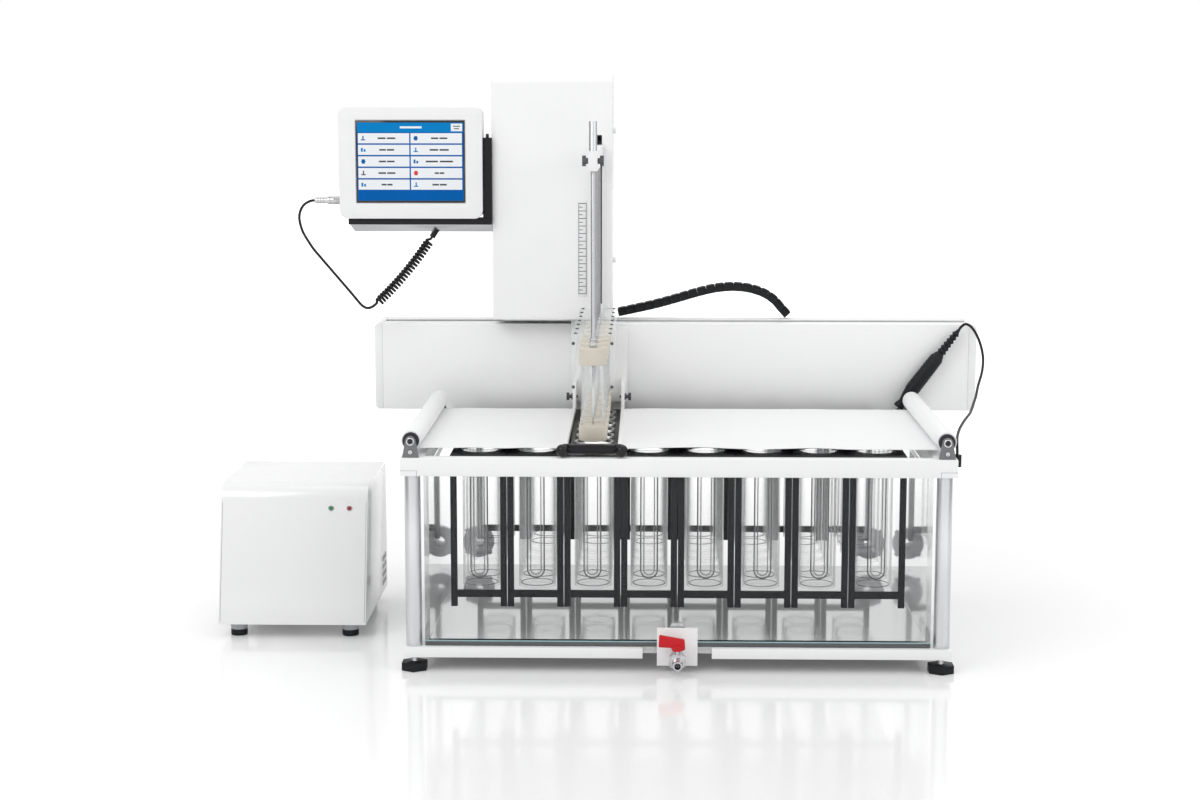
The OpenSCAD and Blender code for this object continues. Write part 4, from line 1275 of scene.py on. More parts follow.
@dataclass
class BathFrame(Assembly):
    """Frame, posts, feet, tank and drain valve, in bath millimetres.

    Attributes:
        stem_z: Where a foot's black hexagon ends and its threaded stem begins.
        valve_plate: Half width, front, rear and top of the white plate that carries the valve.
        tank_half: Half of the tank's width.
        tank_front: How far back the tank's front is.
        floor_z: Underside and face of the tank's floor.
        joint_lines: Edges of the right corner's joint lines, across and up.
        lever_outline: The lever's handle, across and up.
        lever_y: The handle's front and rear.
        hub_z: Foot and top of the lever's hub.
        hub_radius: The hub's radius, in metres.
        rib_ys: How far back each rib of the nozzle is.
        rib_z: Height of the nozzle's middle.
        rib_sizes: Radius of a rib's middle line and of its section, in metres.
    """

    castings: tuple[Casting, ...] = (
        Casting("top_frame", Finishes.FRAME, 1.2),
        Casting("base_frame", Finishes.FRAME, 1.2),
        Casting("base_plate", Finishes.FRAME, 0.6),
        Casting("corner_posts", Finishes.SATIN, 0.4),
        Casting("tank", Finishes.ACRYLIC, 0.5),
        Casting("bulkhead_fittings", Finishes.FITTING, 0.8),
        Casting("valve_body", Finishes.CHROME, 0.6),
        *(Casting(f"foot_{name}", Finishes.BLACK, 0.8) for name in FEET),
    )
    stem_z: float = 11.6
    valve_plate: Box = (27.1, 4.9, 10.1, 60.1)
    tank_half: float = 336.0
    tank_front: float = 10.0
    floor_z: Pair = (33.5, 41.5)
    joint_lines: tuple[Box, ...] = (
        (343.6, 344.2, 264.6, 272.2),
        (344.2, 365.8, 271.6, 272.2),
    )
    lever_outline: tuple[Pair, ...] = (
        (-24, 55.6), (9.5, 49.8), (10.5, 36.8), (6.8, 34.4), (-6, 34.4), (-8, 38.6), (-25, 39.4),
    )
    lever_y: Pair = (-17.0, -9.0)
    hub_z: Pair = (34.3, 42.0)
    hub_radius: float = 0.0072
    rib_ys: tuple[float, ...] = (-24.0, -29.0, -34.0)
    rib_z: float = 20.0
    rib_sizes: Pair = (0.0063, 0.0008)

    def build(self) -> None:
        """Makes the frame and what stands in it."""
        self.cast_all()
        bench = self.bench
        for name in FEET:
            bench.paint(self.pieces[f"foot_{name}"], Finishes.STEEL, lambda c, n: c.z > self.stem_z)
        bench.paint(self.pieces["valve_body"], Finishes.FRAME, self.on_valve_plate)
        # The base plate's underside is painted dark grey: painted shade under the bath.
        bench.paint(self.pieces["base_plate"], Finishes.SHADE, facing((0, 0, -1)))
        tank = self.pieces["tank"]
        bench.paint(tank, Finishes.POOL, lambda c, n: n.z > ALONG and c.z < self.floor_z[1] + 0.1)
        bench.only(tank)
        bpy.ops.object.shade_flat()
        self.edge_strips()
        self.corner_lines()
        self.valve_ribs()
        self.lever()

    def on_valve_plate(self, centre: Vector, normal: Vector) -> bool:
        """Whether a face belongs to the valve's white plate."""
        half, front, rear, top = self.valve_plate
        return front < centre.y < rear and abs(centre.x) < half and centre.z < top

    def lever(self) -> None:
        """The drain valve's sloping handle, moulded in one with its hub."""
        bench = self.bench
        front, rear = self.lever_y
        handle = bench.outline("lever_handle", [at(x, front, z) for x, z in self.lever_outline], "NGON")
        bench.only(handle)
        bpy.ops.object.mode_set(mode="EDIT")
        bpy.ops.mesh.select_all(action="SELECT")
        bpy.ops.mesh.extrude_region_move(TRANSFORM_OT_translate={"value": (0, (rear - front) / 1000, 0)})
        bpy.ops.mesh.select_all(action="SELECT")
        bpy.ops.mesh.normals_make_consistent(inside=False)
        bench.done()
        bench.ease(handle, 1.8, 3)
        foot, top = (at(0, (front + rear) / 2, z) for z in self.hub_z)
        hub = bench.rod("lever_hub", foot, top, self.hub_radius, 40)
        bench.sink(hub, facing((0, 0, -1)), 0.0015, -0.0003)
        bench.ease(hub, 0.6, 2)
        for piece in (handle, hub):
            bench.dress(piece, Finishes.RED)
        self.group("valve_lever_skin", [handle, hub], "drain_lever", "valve_lever")

    def edge_strips(self) -> None:
        """The tinted cut edge of the tank's floor and a dark strip of painted shade under it, along its
        front.
        """
        foot, face = self.floor_z
        for name, low_z, high_z, finish in (
            ("tank_floor_edge", face - 1.9, face - 0.2, Finishes.EDGE),
            # A dark strip of painted shade on the floor's front, below its tinted edge.
            ("tank_floor_gap", foot + 0.3, face - 2.1, Finishes.SHADE),
        ):
            low = at(-self.tank_half, self.tank_front - 0.5, low_z)
            high = at(self.tank_half, self.tank_front - 0.05, high_z)
            strip = self.bench.block(name, low, high)
            self.bench.ease(strip, 0.15, 2)
            self.bench.dress(strip, finish)
            self.bench.hand_in(strip, "bath")

    def corner_lines(self) -> None:
        """The joint lines where the top frame's front rail meets its corner pieces."""
        lines = []
        for side in (-1, 1):
            for x0, x1, z0, z1 in self.joint_lines:
                low = at(min(side * x0, side * x1), -0.12, z0)
                high = at(max(side * x0, side * x1), 0.2, z1)
                lines.append(self.strip(f"joint_line_{len(lines)}", low, high, 0.05, Finishes.GREY))
        self.group("frame_joint_lines", lines, "bath")

    def valve_ribs(self) -> None:
        """The ribs of the hose nozzle."""
        ribs = []
        for i, y in enumerate(self.rib_ys):
            middle = at(0, y, self.rib_z)
            ribs.append(self.band(f"nozzle_rib_{i}", middle, (0, 1, 0), self.rib_sizes, Finishes.CHROME))
        self.group("nozzle_ribs", ribs, "bath")


@dataclass
class Racks(Assembly):
    """Black racks with their plates, glass vessels and round-bottom tubes, in bath millimetres.

    Attributes:
        rim_z: Above it a vessel is its rim.
        bottom_z: Below it a vessel is its bottom.
        tube_y: How far back the round-bottom tubes stand.
        tube_z: Their lowest point and their top.
        tube_radii: Their outer and inner radius.
        tube_sides: Number of their sides.
        corner_rows: Rows whose vessels show their floor corners.
        corner_z: Height of the floor corners.
        corner_sizes: Radius of a floor corner's middle line and of its section, in metres.
    """

    castings: tuple[Casting, ...] = (
        Casting("racks", Finishes.BLACK, 0.6),
        Casting("rack_plates", Finishes.SHEET_BLACK, 0.3),
        *(Casting(f"vessels_{i}", Finishes.GLASS, 0.4) for i in range(1, 9)),
    )
    rim_z: float = 290.2
    bottom_z: float = 112.0
    tube_y: float = 30.3
    tube_z: Pair = (122.0, 288.0)
    tube_radii: Pair = (12.0, 7.6)
    tube_sides: int = 40
    corner_rows: tuple[float, ...] = (*ROWS[:2], *ROWS[-2:])
    corner_z: float = 107.7
    corner_sizes: Pair = (0.0215, 0.0006)

    def build(self) -> None:
        """Makes the racks and the glass."""
        self.cast_all()
        self.tubes()
        self.floor_corners()
        for i in range(1, 9):
            vessels = self.pieces[f"vessels_{i}"]
            # The rims get a paler, denser glass: their thicker glass and a painted highlight.
            self.bench.paint(vessels, Finishes.RIM_GLASS_AND_HIGHLIGHT, lambda c, n: c.z > self.rim_z)
            self.bench.paint(vessels, Finishes.BOTTOM, lambda c, n: c.z < self.bottom_z and abs(n.z) > 0.3)

    def tubes(self) -> None:
        """The round-bottom tubes, round inside too, so that a second line shows within the first."""
        bench = self.bench
        foot, top = self.tube_z
        outer, inner = self.tube_radii
        turns = [math.radians(7.5 * k) for k in range(13)]
        half = [(outer * math.sin(a), foot + outer - outer * math.cos(a)) for a in turns]
        half += [(outer, top), (inner, top)]
        half += [(inner * math.sin(a), foot + outer - inner * math.cos(a)) for a in reversed(turns)]
        first = bench.outline("tube_0", [(x / 1000, 0, z / 1000) for x, z in half], "NOTHING")
        bench.alter(
            first, "SCREW", axis="Z", steps=self.tube_sides, render_steps=self.tube_sides,
            use_merge_vertices=True, merge_threshold=MERGE / 2,
        )
        bench.only(first)
        bpy.ops.object.mode_set(mode="EDIT")
        bpy.ops.mesh.select_all(action="SELECT")
        bpy.ops.mesh.remove_doubles(threshold=MERGE)
        bpy.ops.mesh.delete_loose(use_verts=True, use_edges=True, use_faces=False)
        bpy.ops.mesh.select_all(action="SELECT")
        bpy.ops.mesh.normals_make_consistent(inside=False)
        bench.done()
        bench.ease(first, 0)
        bench.dress(first, Finishes.TUBE)
        made = []
        for i, x in enumerate(COLUMNS, 1):
            made.append(bench.copy(first, f"tube_{i}", Matrix.Translation(at(x, self.tube_y, 0))))
        bpy.data.objects.remove(first)
        self.group("guard_tubes_skin", made, "bath", "guard_tubes")

    def floor_corners(self) -> None:
        """The thick round floor corners of the front and rear vessels, which show as lines in the glass."""
        bench = self.bench
        corners = []
        for x in COLUMNS:
            for y in self.corner_rows:
                name = f"floor_corner_{len(corners)}"
                middle = at(x, y, self.corner_z)
                corners.append(bench.ring(name, middle, Vector((0, 0, 1)), *self.corner_sizes))
        made = bench.join("vessel_floor_corners", corners)
        bench.ease(made, 0)
        bench.dress(made, Finishes.CORNER)
        bench.hand_in(made, "bath")


@dataclass(frozen=True)
class Blind:
    """One blind sheet between its roller and its hem rail, in bath millimetres.

    Attributes:
        name: Left or right.
        roller_x: Where it leaves its roller.
        hem_x: Where its hem rail holds it.
        waves: Height of its ripples.
        flat: Share of its length, next to the roller, that lies level.
        front: Its front edge.
        rear: Its rear edge.
        top: Height of its level line.
        thick: Thickness of the cloth.
    """

    # Shares of the length over which the ripples rise and fall, and how fast they run each way.
    rise = 0.12
    fall = 0.10
    ripple = (17, 2.4, 1.1)
    cross = (9, -7)

    name: str
    roller_x: float
    hem_x: float
    waves: float
    flat: float = 0.06
    front: float = 34.0
    rear: float = 392.0
    top: float = 297.05
    thick: float = 0.6

    def height(self, along: float, across: float) -> float:
        """How far the cloth lifts off its level line.

        Args:
            along: Share of the way from the roller to the hem.
            across: Share of the way from the front edge to the rear edge.

        Returns:
            The lift in millimetres.
        """
        drawn = min(1.0, max(0.0, (along - self.flat) / self.rise)) * min(1.0, (1 - along) / self.fall)
        front = (1 - across) ** 2
        length, lean, start = self.ripple
        ripple = 0.5 + 0.5 * math.sin(length * along + lean * across + start)
        cross = 0.5 + 0.5 * math.sin(self.cross[0] * along + self.cross[1] * across)
        return self.waves * drawn * (0.55 * ripple * (0.35 + front) + 0.35 * cross)


@dataclass
class Covers(Assembly):
    """Blind rollers with their brackets and sheets, and the frame that parts the sheets.

    Attributes:
        knob: Middle of the right ball knob, across from the cylinders, back and up, in bath millimetres.
        knob_reach: How far from there its faces are.
        plug_ys: Before the first and behind the second, a roller is its end plug.
        roller_x: How far the rollers stand from the bath's middle.
        roller_z: Height of their axles.
        bracket_ys: Outer faces of the front and rear brackets.
        bracket_screw_z: Height of the brackets' fixing screws.
        thumb: Seat of the right thumb screw, across from the cylinders, back and up.
        ridges: Number of ridges and grooves round a thumb screw's head.
        cloth_steps: Number of faces along a sheet and across it.
        cloth_line: How far back and up the line is that a sheet is drawn out along.
        blinds: The two sheets.
    """

    castings: tuple[Casting, ...] = (
        Casting("roller_left", Finishes.CLOTH, 0.5),
        Casting("roller_right", Finishes.CLOTH, 0.5),
        Casting("roller_brackets", Finishes.BRACKET, 0.6),
        Casting("cover_hem", Finishes.FRAME, 0.8),
        Casting("cover_bar", Finishes.SHEET_BLACK, 0.5),
    )
    knob: Point = (39.0, 6.0, 298.5)
    knob_reach: float = 9.2
    plug_ys: Pair = (11.9, 396.1)
    roller_x: float = 352.0
    roller_z: float = 310.5
    bracket_ys: Pair = (2.0, 406.0)
    bracket_screw_z: float = 296.5
    thumb: Point = (38.5, 400.0, 314.5)
    ridges: int = 48
    cloth_steps: tuple[int, int] = (72, 40)
    cloth_line: Pair = (213.0, 297.0)
    blinds: tuple[Blind, ...] = (
        Blind("left", -352.0, -151.75, 1.0),
        Blind("right", 352.0, -74.75, 2.2, 0.28),
    )

    def build(self) -> None:
        """Makes the covers."""
        self.cast_all()
        front, rear = self.plug_ys
        for side in ("left", "right"):
            roller = self.pieces["roller_" + side]
            self.bench.paint(roller, Finishes.PLUG, lambda c, n: c.y < front or c.y > rear)
        self.bench.paint(self.pieces["cover_bar"], Finishes.BALL, self.on_knob)
        for blind in self.blinds:
            self.sheet(blind)
        for side, sign in (("left", -1), ("right", 1)):
            self.thumb_screw(side, sign)
        self.bracket_screws()

    def on_knob(self, centre: Vector, normal: Vector) -> bool:
        """Whether a face belongs to a ball knob."""
        mirrored = Vector((abs(centre.x - DIP_X), centre.y, centre.z))
        return (mirrored - Vector(self.knob)).length < self.knob_reach

    def sheet(self, blind: Blind) -> None:
        """One cloth sheet, faintly rippled, between its roller and the carriage.

        Args:
            blind: Its sizes.
        """
        bench = self.bench
        low = at(min(blind.roller_x, blind.hem_x), blind.front, blind.top)
        high = at(max(blind.roller_x, blind.hem_x), blind.rear, blind.top)
        columns, rows = self.cloth_steps
        bpy.ops.object.select_all(action="DESELECT")
        bpy.ops.mesh.primitive_grid_add(
            x_subdivisions=columns, y_subdivisions=rows, size=1, location=(low + high) / 2,
        )
        bpy.context.active_object.scale = (high.x - low.x, high.y - low.y, 1)
        cloth = bench.settle("blind_" + blind.name)
        for vertex in cloth.data.vertices:
            place = bath(vertex.co)
            along = (place.x - blind.roller_x) / (blind.hem_x - blind.roller_x)
            across = (place.y - blind.front) / (blind.rear - blind.front)
            vertex.co.z += blind.height(along, across) / 1000
        bench.alter(cloth, "SOLIDIFY", thickness=blind.thick / 1000, offset=-1)
        bench.ease(cloth, 0, angle=40)
        bench.dress(cloth, Finishes.CLOTH)
        start = at(blind.roller_x, *self.cloth_line)
        end = at(blind.hem_x, *self.cloth_line)
        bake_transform(cloth)
        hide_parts("sheet_" + blind.name)
        size = (abs(blind.hem_x - blind.roller_x) / 1000, (blind.rear - blind.front) / 1000)
        LOG.info("%s blends between bath and carriage", cloth.name)

    def thumb_screw(self, side: str, sign: int) -> None:
        """A screw with a collar, a neck and a knurled head, through the carriage's side bracket.

        Args:
            side: Left or right.
            sign: -1 for the left one, 1 for the right one.
        """
        bench = self.bench
        x, y, z = self.thumb
        seat = at(DIP_X + sign * x, y, z)
        way = Vector((sign, 0, 0))
        turn = 2 * math.pi / self.ridges

        def turned(name: str, start: float, end: float, radius: float, sides: int) -> Piece:
            """A round part of the screw, between two distances from its seat."""
            return bench.rod(f"thumb_{name}_{side}", seat + way * start, seat + way * end, radius, sides)

        def ridge(centre: Vector, normal: Vector) -> bool:
            """Every other face round the head."""
            if abs(normal.x) > 0.5:
                return False
            angle = math.atan2(centre.z - seat.z, centre.y - seat.y) + 2 * math.pi
            return int(angle / turn) % 2 == 0

        head = turned("head", 0.0055, 0.009, 0.0051, self.ridges)
        bench.raise_faces(head, ridge, 0.0004)
        bench.sink(head, facing(way), 0.0018, 0.0006)
        bench.ease(head, 0.12, 1)
        stem = turned("stem", -0.007, 0.0, 0.002, 20)
        bench.sink(stem, facing(-way), 0.0006, 0.0004)
        bench.ease(stem, 0)
        neck = turned("neck", 0.002, 0.0056, 0.0028, 24)
        bench.ease(neck, 0.3, 2)
        collar = turned("collar", 0.0, 0.0022, 0.0049, 32)
        bench.sink(collar, facing(way), 0.0012, 0.0004)
        bench.ease(collar, 0.3, 2)
        parts = [head, stem, neck, collar]
        for piece in parts:
            bench.dress(piece, Finishes.DARK)
        node = f"thumb_screw_{side}"
        self.group(node + "_skin", parts, bench.body_of[node], node)

    def bracket_screws(self) -> None:
        """The axle washers and fixing screws of the four roller brackets."""
        parts = []
        for x in (-self.roller_x, self.roller_x):
            for y, sign in zip(self.bracket_ys, (-1, 1)):
                i = len(parts) // 2
                way = Vector((0, sign, 0))
                middle = at(x, y + sign * 0.4, self.roller_z)
                seat = at(x, y, self.bracket_screw_z)
                parts.append(self.band(f"axle_ring_{i}", middle, way, (0.0046, 0.0009), Finishes.STEEL))
                parts.append(self.screw(f"bracket_screw_{i}", seat, way, 0.0028, Finishes.STEEL))
        self.group("bracket_screws", parts, "bath")


@dataclass
class Beam(Assembly):
    """Rear beam with what runs in it and the cable chain on it, in bath millimetres.

    Attributes:
        chain_start: Where the chain meets the carriage, across.
        chain_length: How far from there its fixed end is.
        chain_way: The chain's middle line from its start, across and up.
        pitch: Length of a link.
        beam_top: Height of the beam's top.
        chain_y: How far back the chain lies.
        cap_x: How far the end caps' faces are from the bath's middle.
        cap_screw_ys: How far back the caps' screws are.
        cap_screw_zs: How high they are.
        cap_screw_radius: Radius of their heads, in metres.
    """

    castings: tuple[Casting, ...] = (
        Casting("beam_housing", Finishes.WHITE, 1.0),
        Casting("beam_end_caps", Finishes.WHITE, 1.0),
        Casting("beam_rail", Finishes.STEEL, 0.5),
        Casting("drive_motor", Finishes.DARK, 1.0),
    )
    chain_start: float = -90.25
    chain_length: float = 268.0
    chain_way: tuple[Pair, ...] = (
        (4, 9), (30, 14.5), (61, 21.5), (92, 30), (121, 38.5), (142, 44), (161, 47.3), (182, 48.6),
        (203, 46.6), (220, 42), (234, 35.5), (245, 27), (253, 18), (261, 9), (266, 3),
    )
    pitch: float = 14.0
    beam_top: float = 420.0
    chain_y: float = 518.0
    cap_x: float = 452.2
    cap_screw_ys: Pair = (448.0, 520.0)
    cap_screw_zs: Pair = (303.0, 406.0)
    cap_screw_radius: float = 0.0011

    def build(self) -> None:
        """Makes the beam."""
        self.cast_all()
        self.chain()
        self.cap_screws()

    def link(self) -> Piece:
        """One chain link, at the origin with its length along X.

        Returns:
            The link.
        """
        bench = self.bench
        half = Vector((self.pitch / 2000, 0.008, 0.006))
        link = bench.block("chain_link", -half, half)
        bench.sink(link, lambda c, n: abs(n.y) > ALONG, 0.0016, -0.0012)
        bench.sink(link, lambda c, n: n.z > ALONG, 0.0024, 0.0013)
        bench.sink(link, lambda c, n: abs(n.x) > ALONG, 0.0022, -0.0002)
        bench.ease(link, 0.5, 1)
        return bench.dress(link, Finishes.BLACK)

    def chain(self) -> None:
        """The arched chain, link by link along its route."""
        route = [
            Vector((self.chain_start + x, self.chain_y, self.beam_top + z)) for x, z in self.chain_way
        ]
        fine = smooth_route(route, 12)
        link = self.link()
        links = []
        gone, wanted = 0.0, self.pitch / 2
        for a, b in zip(fine, fine[1:]):
            step = (b - a).length
            while gone + step >= wanted:
                place = a.lerp(b, (wanted - gone) / step)
                lean = -math.atan2(b.z - a.z, b.x - a.x)
                matrix = Matrix.Translation(at(*place)) @ Matrix.Rotation(lean, 4, "Y")
                links.append(self.bench.copy(link, f"link_{len(links)}", matrix))
                wanted += self.pitch
            gone += step
        bpy.data.objects.remove(link)
        chain = self.bench.join("cable_chain", links)
        start = at(self.chain_start + self.chain_length, self.chain_y, self.beam_top)
        end = at(self.chain_start, self.chain_y, self.beam_top)
        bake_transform(chain)
        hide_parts("drag_chain")
        LOG.info("%s blends between bath and carriage", chain.name)

    def cap_screws(self) -> None:
        """Four countersunk screws in each end cap."""
        screws = []
        for side in (-1, 1):
            way = Vector((side, 0, 0))
            for y in self.cap_screw_ys:
                for z in self.cap_screw_zs:
                    name = f"cap_screw_{len(screws)}"
                    seat = at(side * self.cap_x, y, z)
                    screws.append(self.screw(name, seat, way, self.cap_screw_radius, Finishes.STEEL))
        self.group("beam_cap_screws", screws, "bath")


@dataclass
class Tower(Assembly):
    """Dipping tower, its carriage, the splash guard and the lift, in bath millimetres.

    Attributes:
        tube_z: Above it, and before tube_y, the lift's arm is its stub tube.
        tube_y: How far back the stub tube reaches.
        slide_y: Behind it the lift's arm is its dark slide.
        scale: Left, right, lower and upper edge of the scale plate.
        scale_ys: Front and rear of the scale's lines.
        divisions: Number of the scale's long divisions.
        line_lengths: Length of its long lines and of its short ones.
        line_half: Half of a line's thickness.
        line_margin: From the plate's ends to the outer lines.
        line_start: From the plate's left edge to the lines.
        rule_half: Half of a rule's thickness.
        rule_margin: From the plate's ends to the ends of the rules.
        rule_inset: From the plate's edges to the rules.
        stud: Where the studs sit on the tower's right side, across and back.
        stud_zs: How high the studs are.
        guard_half: Half of the distance between the guard's front screws, and between its top ones.
        guard_front: How far back the front screws are, and how high each is.
        guard_top: How far back the top screws are, and how high they are.
        guard_screw_radius: Radius of the guard's screws, in metres.
        collars: Height of each collar on a dip rod, and its radius in metres.
        panel: Lowest and highest corner of the tower's rear cover.
        panel_screws: Where the cover's screws are across, how far back, and up.
        panel_screw_radius: Radius of the cover's screws, in metres.
    """

    castings: tuple[Casting, ...] = (
        Casting("tower_casing", Finishes.WHITE, 1.2, 3),
        Casting("scale_plate", Finishes.BEZEL, 0.2),
        Casting("lift_motor", Finishes.DARK, 1.5),
        Casting("lift_screw", Finishes.STEEL, 0.3),
        Casting("carriage_runner", Finishes.SATIN, 0.8),
        Casting("carriage_plate", Finishes.WHITE, 0.8),
        Casting("splash_guard", Finishes.GUARD, 0.4),
        Casting("lift_arm", Finishes.BEZEL, 0.8),
        Casting("dip_rods", Finishes.STEEL, 0.3),
        Casting("cylinder_caps", Finishes.BEIGE, 1.0, 3),
        Casting("cylinder_glass", Finishes.DIP_GLASS, 0.3),
        Casting("arm_screw_left", Finishes.DARK, 0.4),
        Casting("arm_screw_right", Finishes.DARK, 0.4),
    )
    tube_z: float = 688.4
    tube_y: float = 80.0
    slide_y: float = 428.0
    scale: Box = (-144.25, -130.75, 464.0, 606.0)
    scale_ys: Pair = (403.55, 403.85)
    divisions: int = 12
    line_lengths: Pair = (10.5, 5.5)
    line_half: float = 0.45
    line_margin: float = 4.0
    line_start: float = 1.5
    rule_half: float = 0.35
    rule_margin: float = 3.0
    rule_inset: float = 1.2
    stud: Pair = (-93.25, 452.0)
    stud_zs: Pair = (708.0, 515.0)
    guard_half: Pair = (25.5, 23.0)
    guard_front: Point = (43.0, 378.0, 436.0)
    guard_top: tuple[range, float] = (range(60, 400, 54), 447.0)
    guard_screw_radius: float = 0.0022
    collars: tuple[Pair, ...] = ((430.5, 0.0050), (434.5, 0.0050), (438.5, 0.0048))
    panel: tuple[Point, Point] = ((-263.0, 529.8, 436.0), (-101.0, 531.2, 778.0))
    panel_screws: tuple[Pair, float, Point] = ((-260.0, -104.0), 531.15, (439.0, 607.0, 775.0))
    panel_screw_radius: float = 0.0011

    def build(self) -> None:
        """Makes the tower and the lift."""
        self.cast_all()
        arm = self.pieces["lift_arm"]
        self.bench.paint(arm, Finishes.SATIN, lambda c, n: c.z > self.tube_z and c.y < self.tube_y)
        self.bench.paint(arm, Finishes.DARK, lambda c, n: c.y > self.slide_y)
        self.graduations()
        self.side_studs()
        self.guard_screws()
        self.cap_rings()
        self.back_panel()

    def graduations(self) -> None:
        """The scale's division lines, long and short, between two rules."""
        x0, x1, z0, z1 = self.scale
        front, rear = self.scale_ys
        start = x0 + self.line_start
        half = self.line_half
        parts = []
        for i in range(2 * self.divisions + 1):
            z = z0 + self.line_margin + (z1 - z0 - 2 * self.line_margin) * i / (2 * self.divisions)
            end = start + self.line_lengths[i % 2]
            low, high = at(start, front, z - half), at(end, rear, z + half)
            parts.append(self.strip(f"line_{i}", low, high, 0.1, Finishes.INK))
        half = self.rule_half
        for i, x in enumerate((x0 + self.rule_inset, x1 - self.rule_inset)):
            low = at(x - half, front, z0 + self.rule_margin)
            high = at(x + half, rear, z1 - self.rule_margin)
            parts.append(self.strip(f"rule_{i}", low, high, 0.1, Finishes.INK))
        self.group("scale_lines", parts, "carriage")

    def side_studs(self) -> None:
        """Two small round studs on the tower's right side."""
        bench = self.bench
        way = Vector((1, 0, 0))
        studs = []
        for i, z in enumerate(self.stud_zs):
            seat = at(*self.stud, z)
            stud = bench.rod(f"stud_{i}", seat, seat + way * 0.004, 0.0045, 28)
            bench.sink(stud, facing(way), 0.0012, 0.0006)
            bench.ease(stud, 0.8, 3)
            studs.append(bench.dress(stud, Finishes.BEZEL))
        self.group("tower_studs", studs, "carriage")

    def guard_screws(self) -> None:
        """The dark screws that hold the splash guard's sheets together."""
        front, *front_zs = self.guard_front
        top_ys, top = self.guard_top
        screws = []
        for i, side in enumerate((-1, 1)):
            front_x, top_x = (DIP_X + side * half for half in self.guard_half)
            seats = [
                (f"guard_screw_{i}{k}", at(front_x, front, z), (0, -1, 0)) for k, z in enumerate(front_zs)
            ]
            seats += [(f"guard_top_{i}{k}", at(top_x, y, top), (0, 0, 1)) for k, y in enumerate(top_ys)]
            for name, seat, way in seats:
                screws.append(self.screw(name, seat, Vector(way), self.guard_screw_radius, Finishes.DARK))
        self.group("guard_screws", screws, "carriage")

    def cap_rings(self) -> None:
        """The grooved collars above the dipping cylinders' caps."""
        rings = []
        for i, y in enumerate(ROWS):
            for k, (z, radius) in enumerate(self.collars):
                middle = at(DIP_X, y, z)
                sizes = (radius, 0.0009)
                rings.append(self.band(f"collar_{i}{k}", middle, (0, 0, 1), sizes, Finishes.STEEL))
        self.group("rod_collars", rings, "lift")

    def back_panel(self) -> None:
        """The tower's screwed rear cover."""
        bench = self.bench
        way = Vector((0, 1, 0))
        low, high = (at(*corner) for corner in self.panel)
        panel = bench.block("tower_back", low, high)
        bench.sink(panel, facing(way), 0.006, -0.0004)
        bench.ease(panel, 0.4, 2)
        parts = [bench.dress(panel, Finishes.WHITE)]
        xs, y, zs = self.panel_screws
        for i, (x, z) in enumerate((x, z) for x in xs for z in zs):
            seat = at(x, y, z)
            parts.append(self.screw(f"back_screw_{i}", seat, way, self.panel_screw_radius, Finishes.STEEL))
        self.group("tower_back_panel", parts, "carriage")


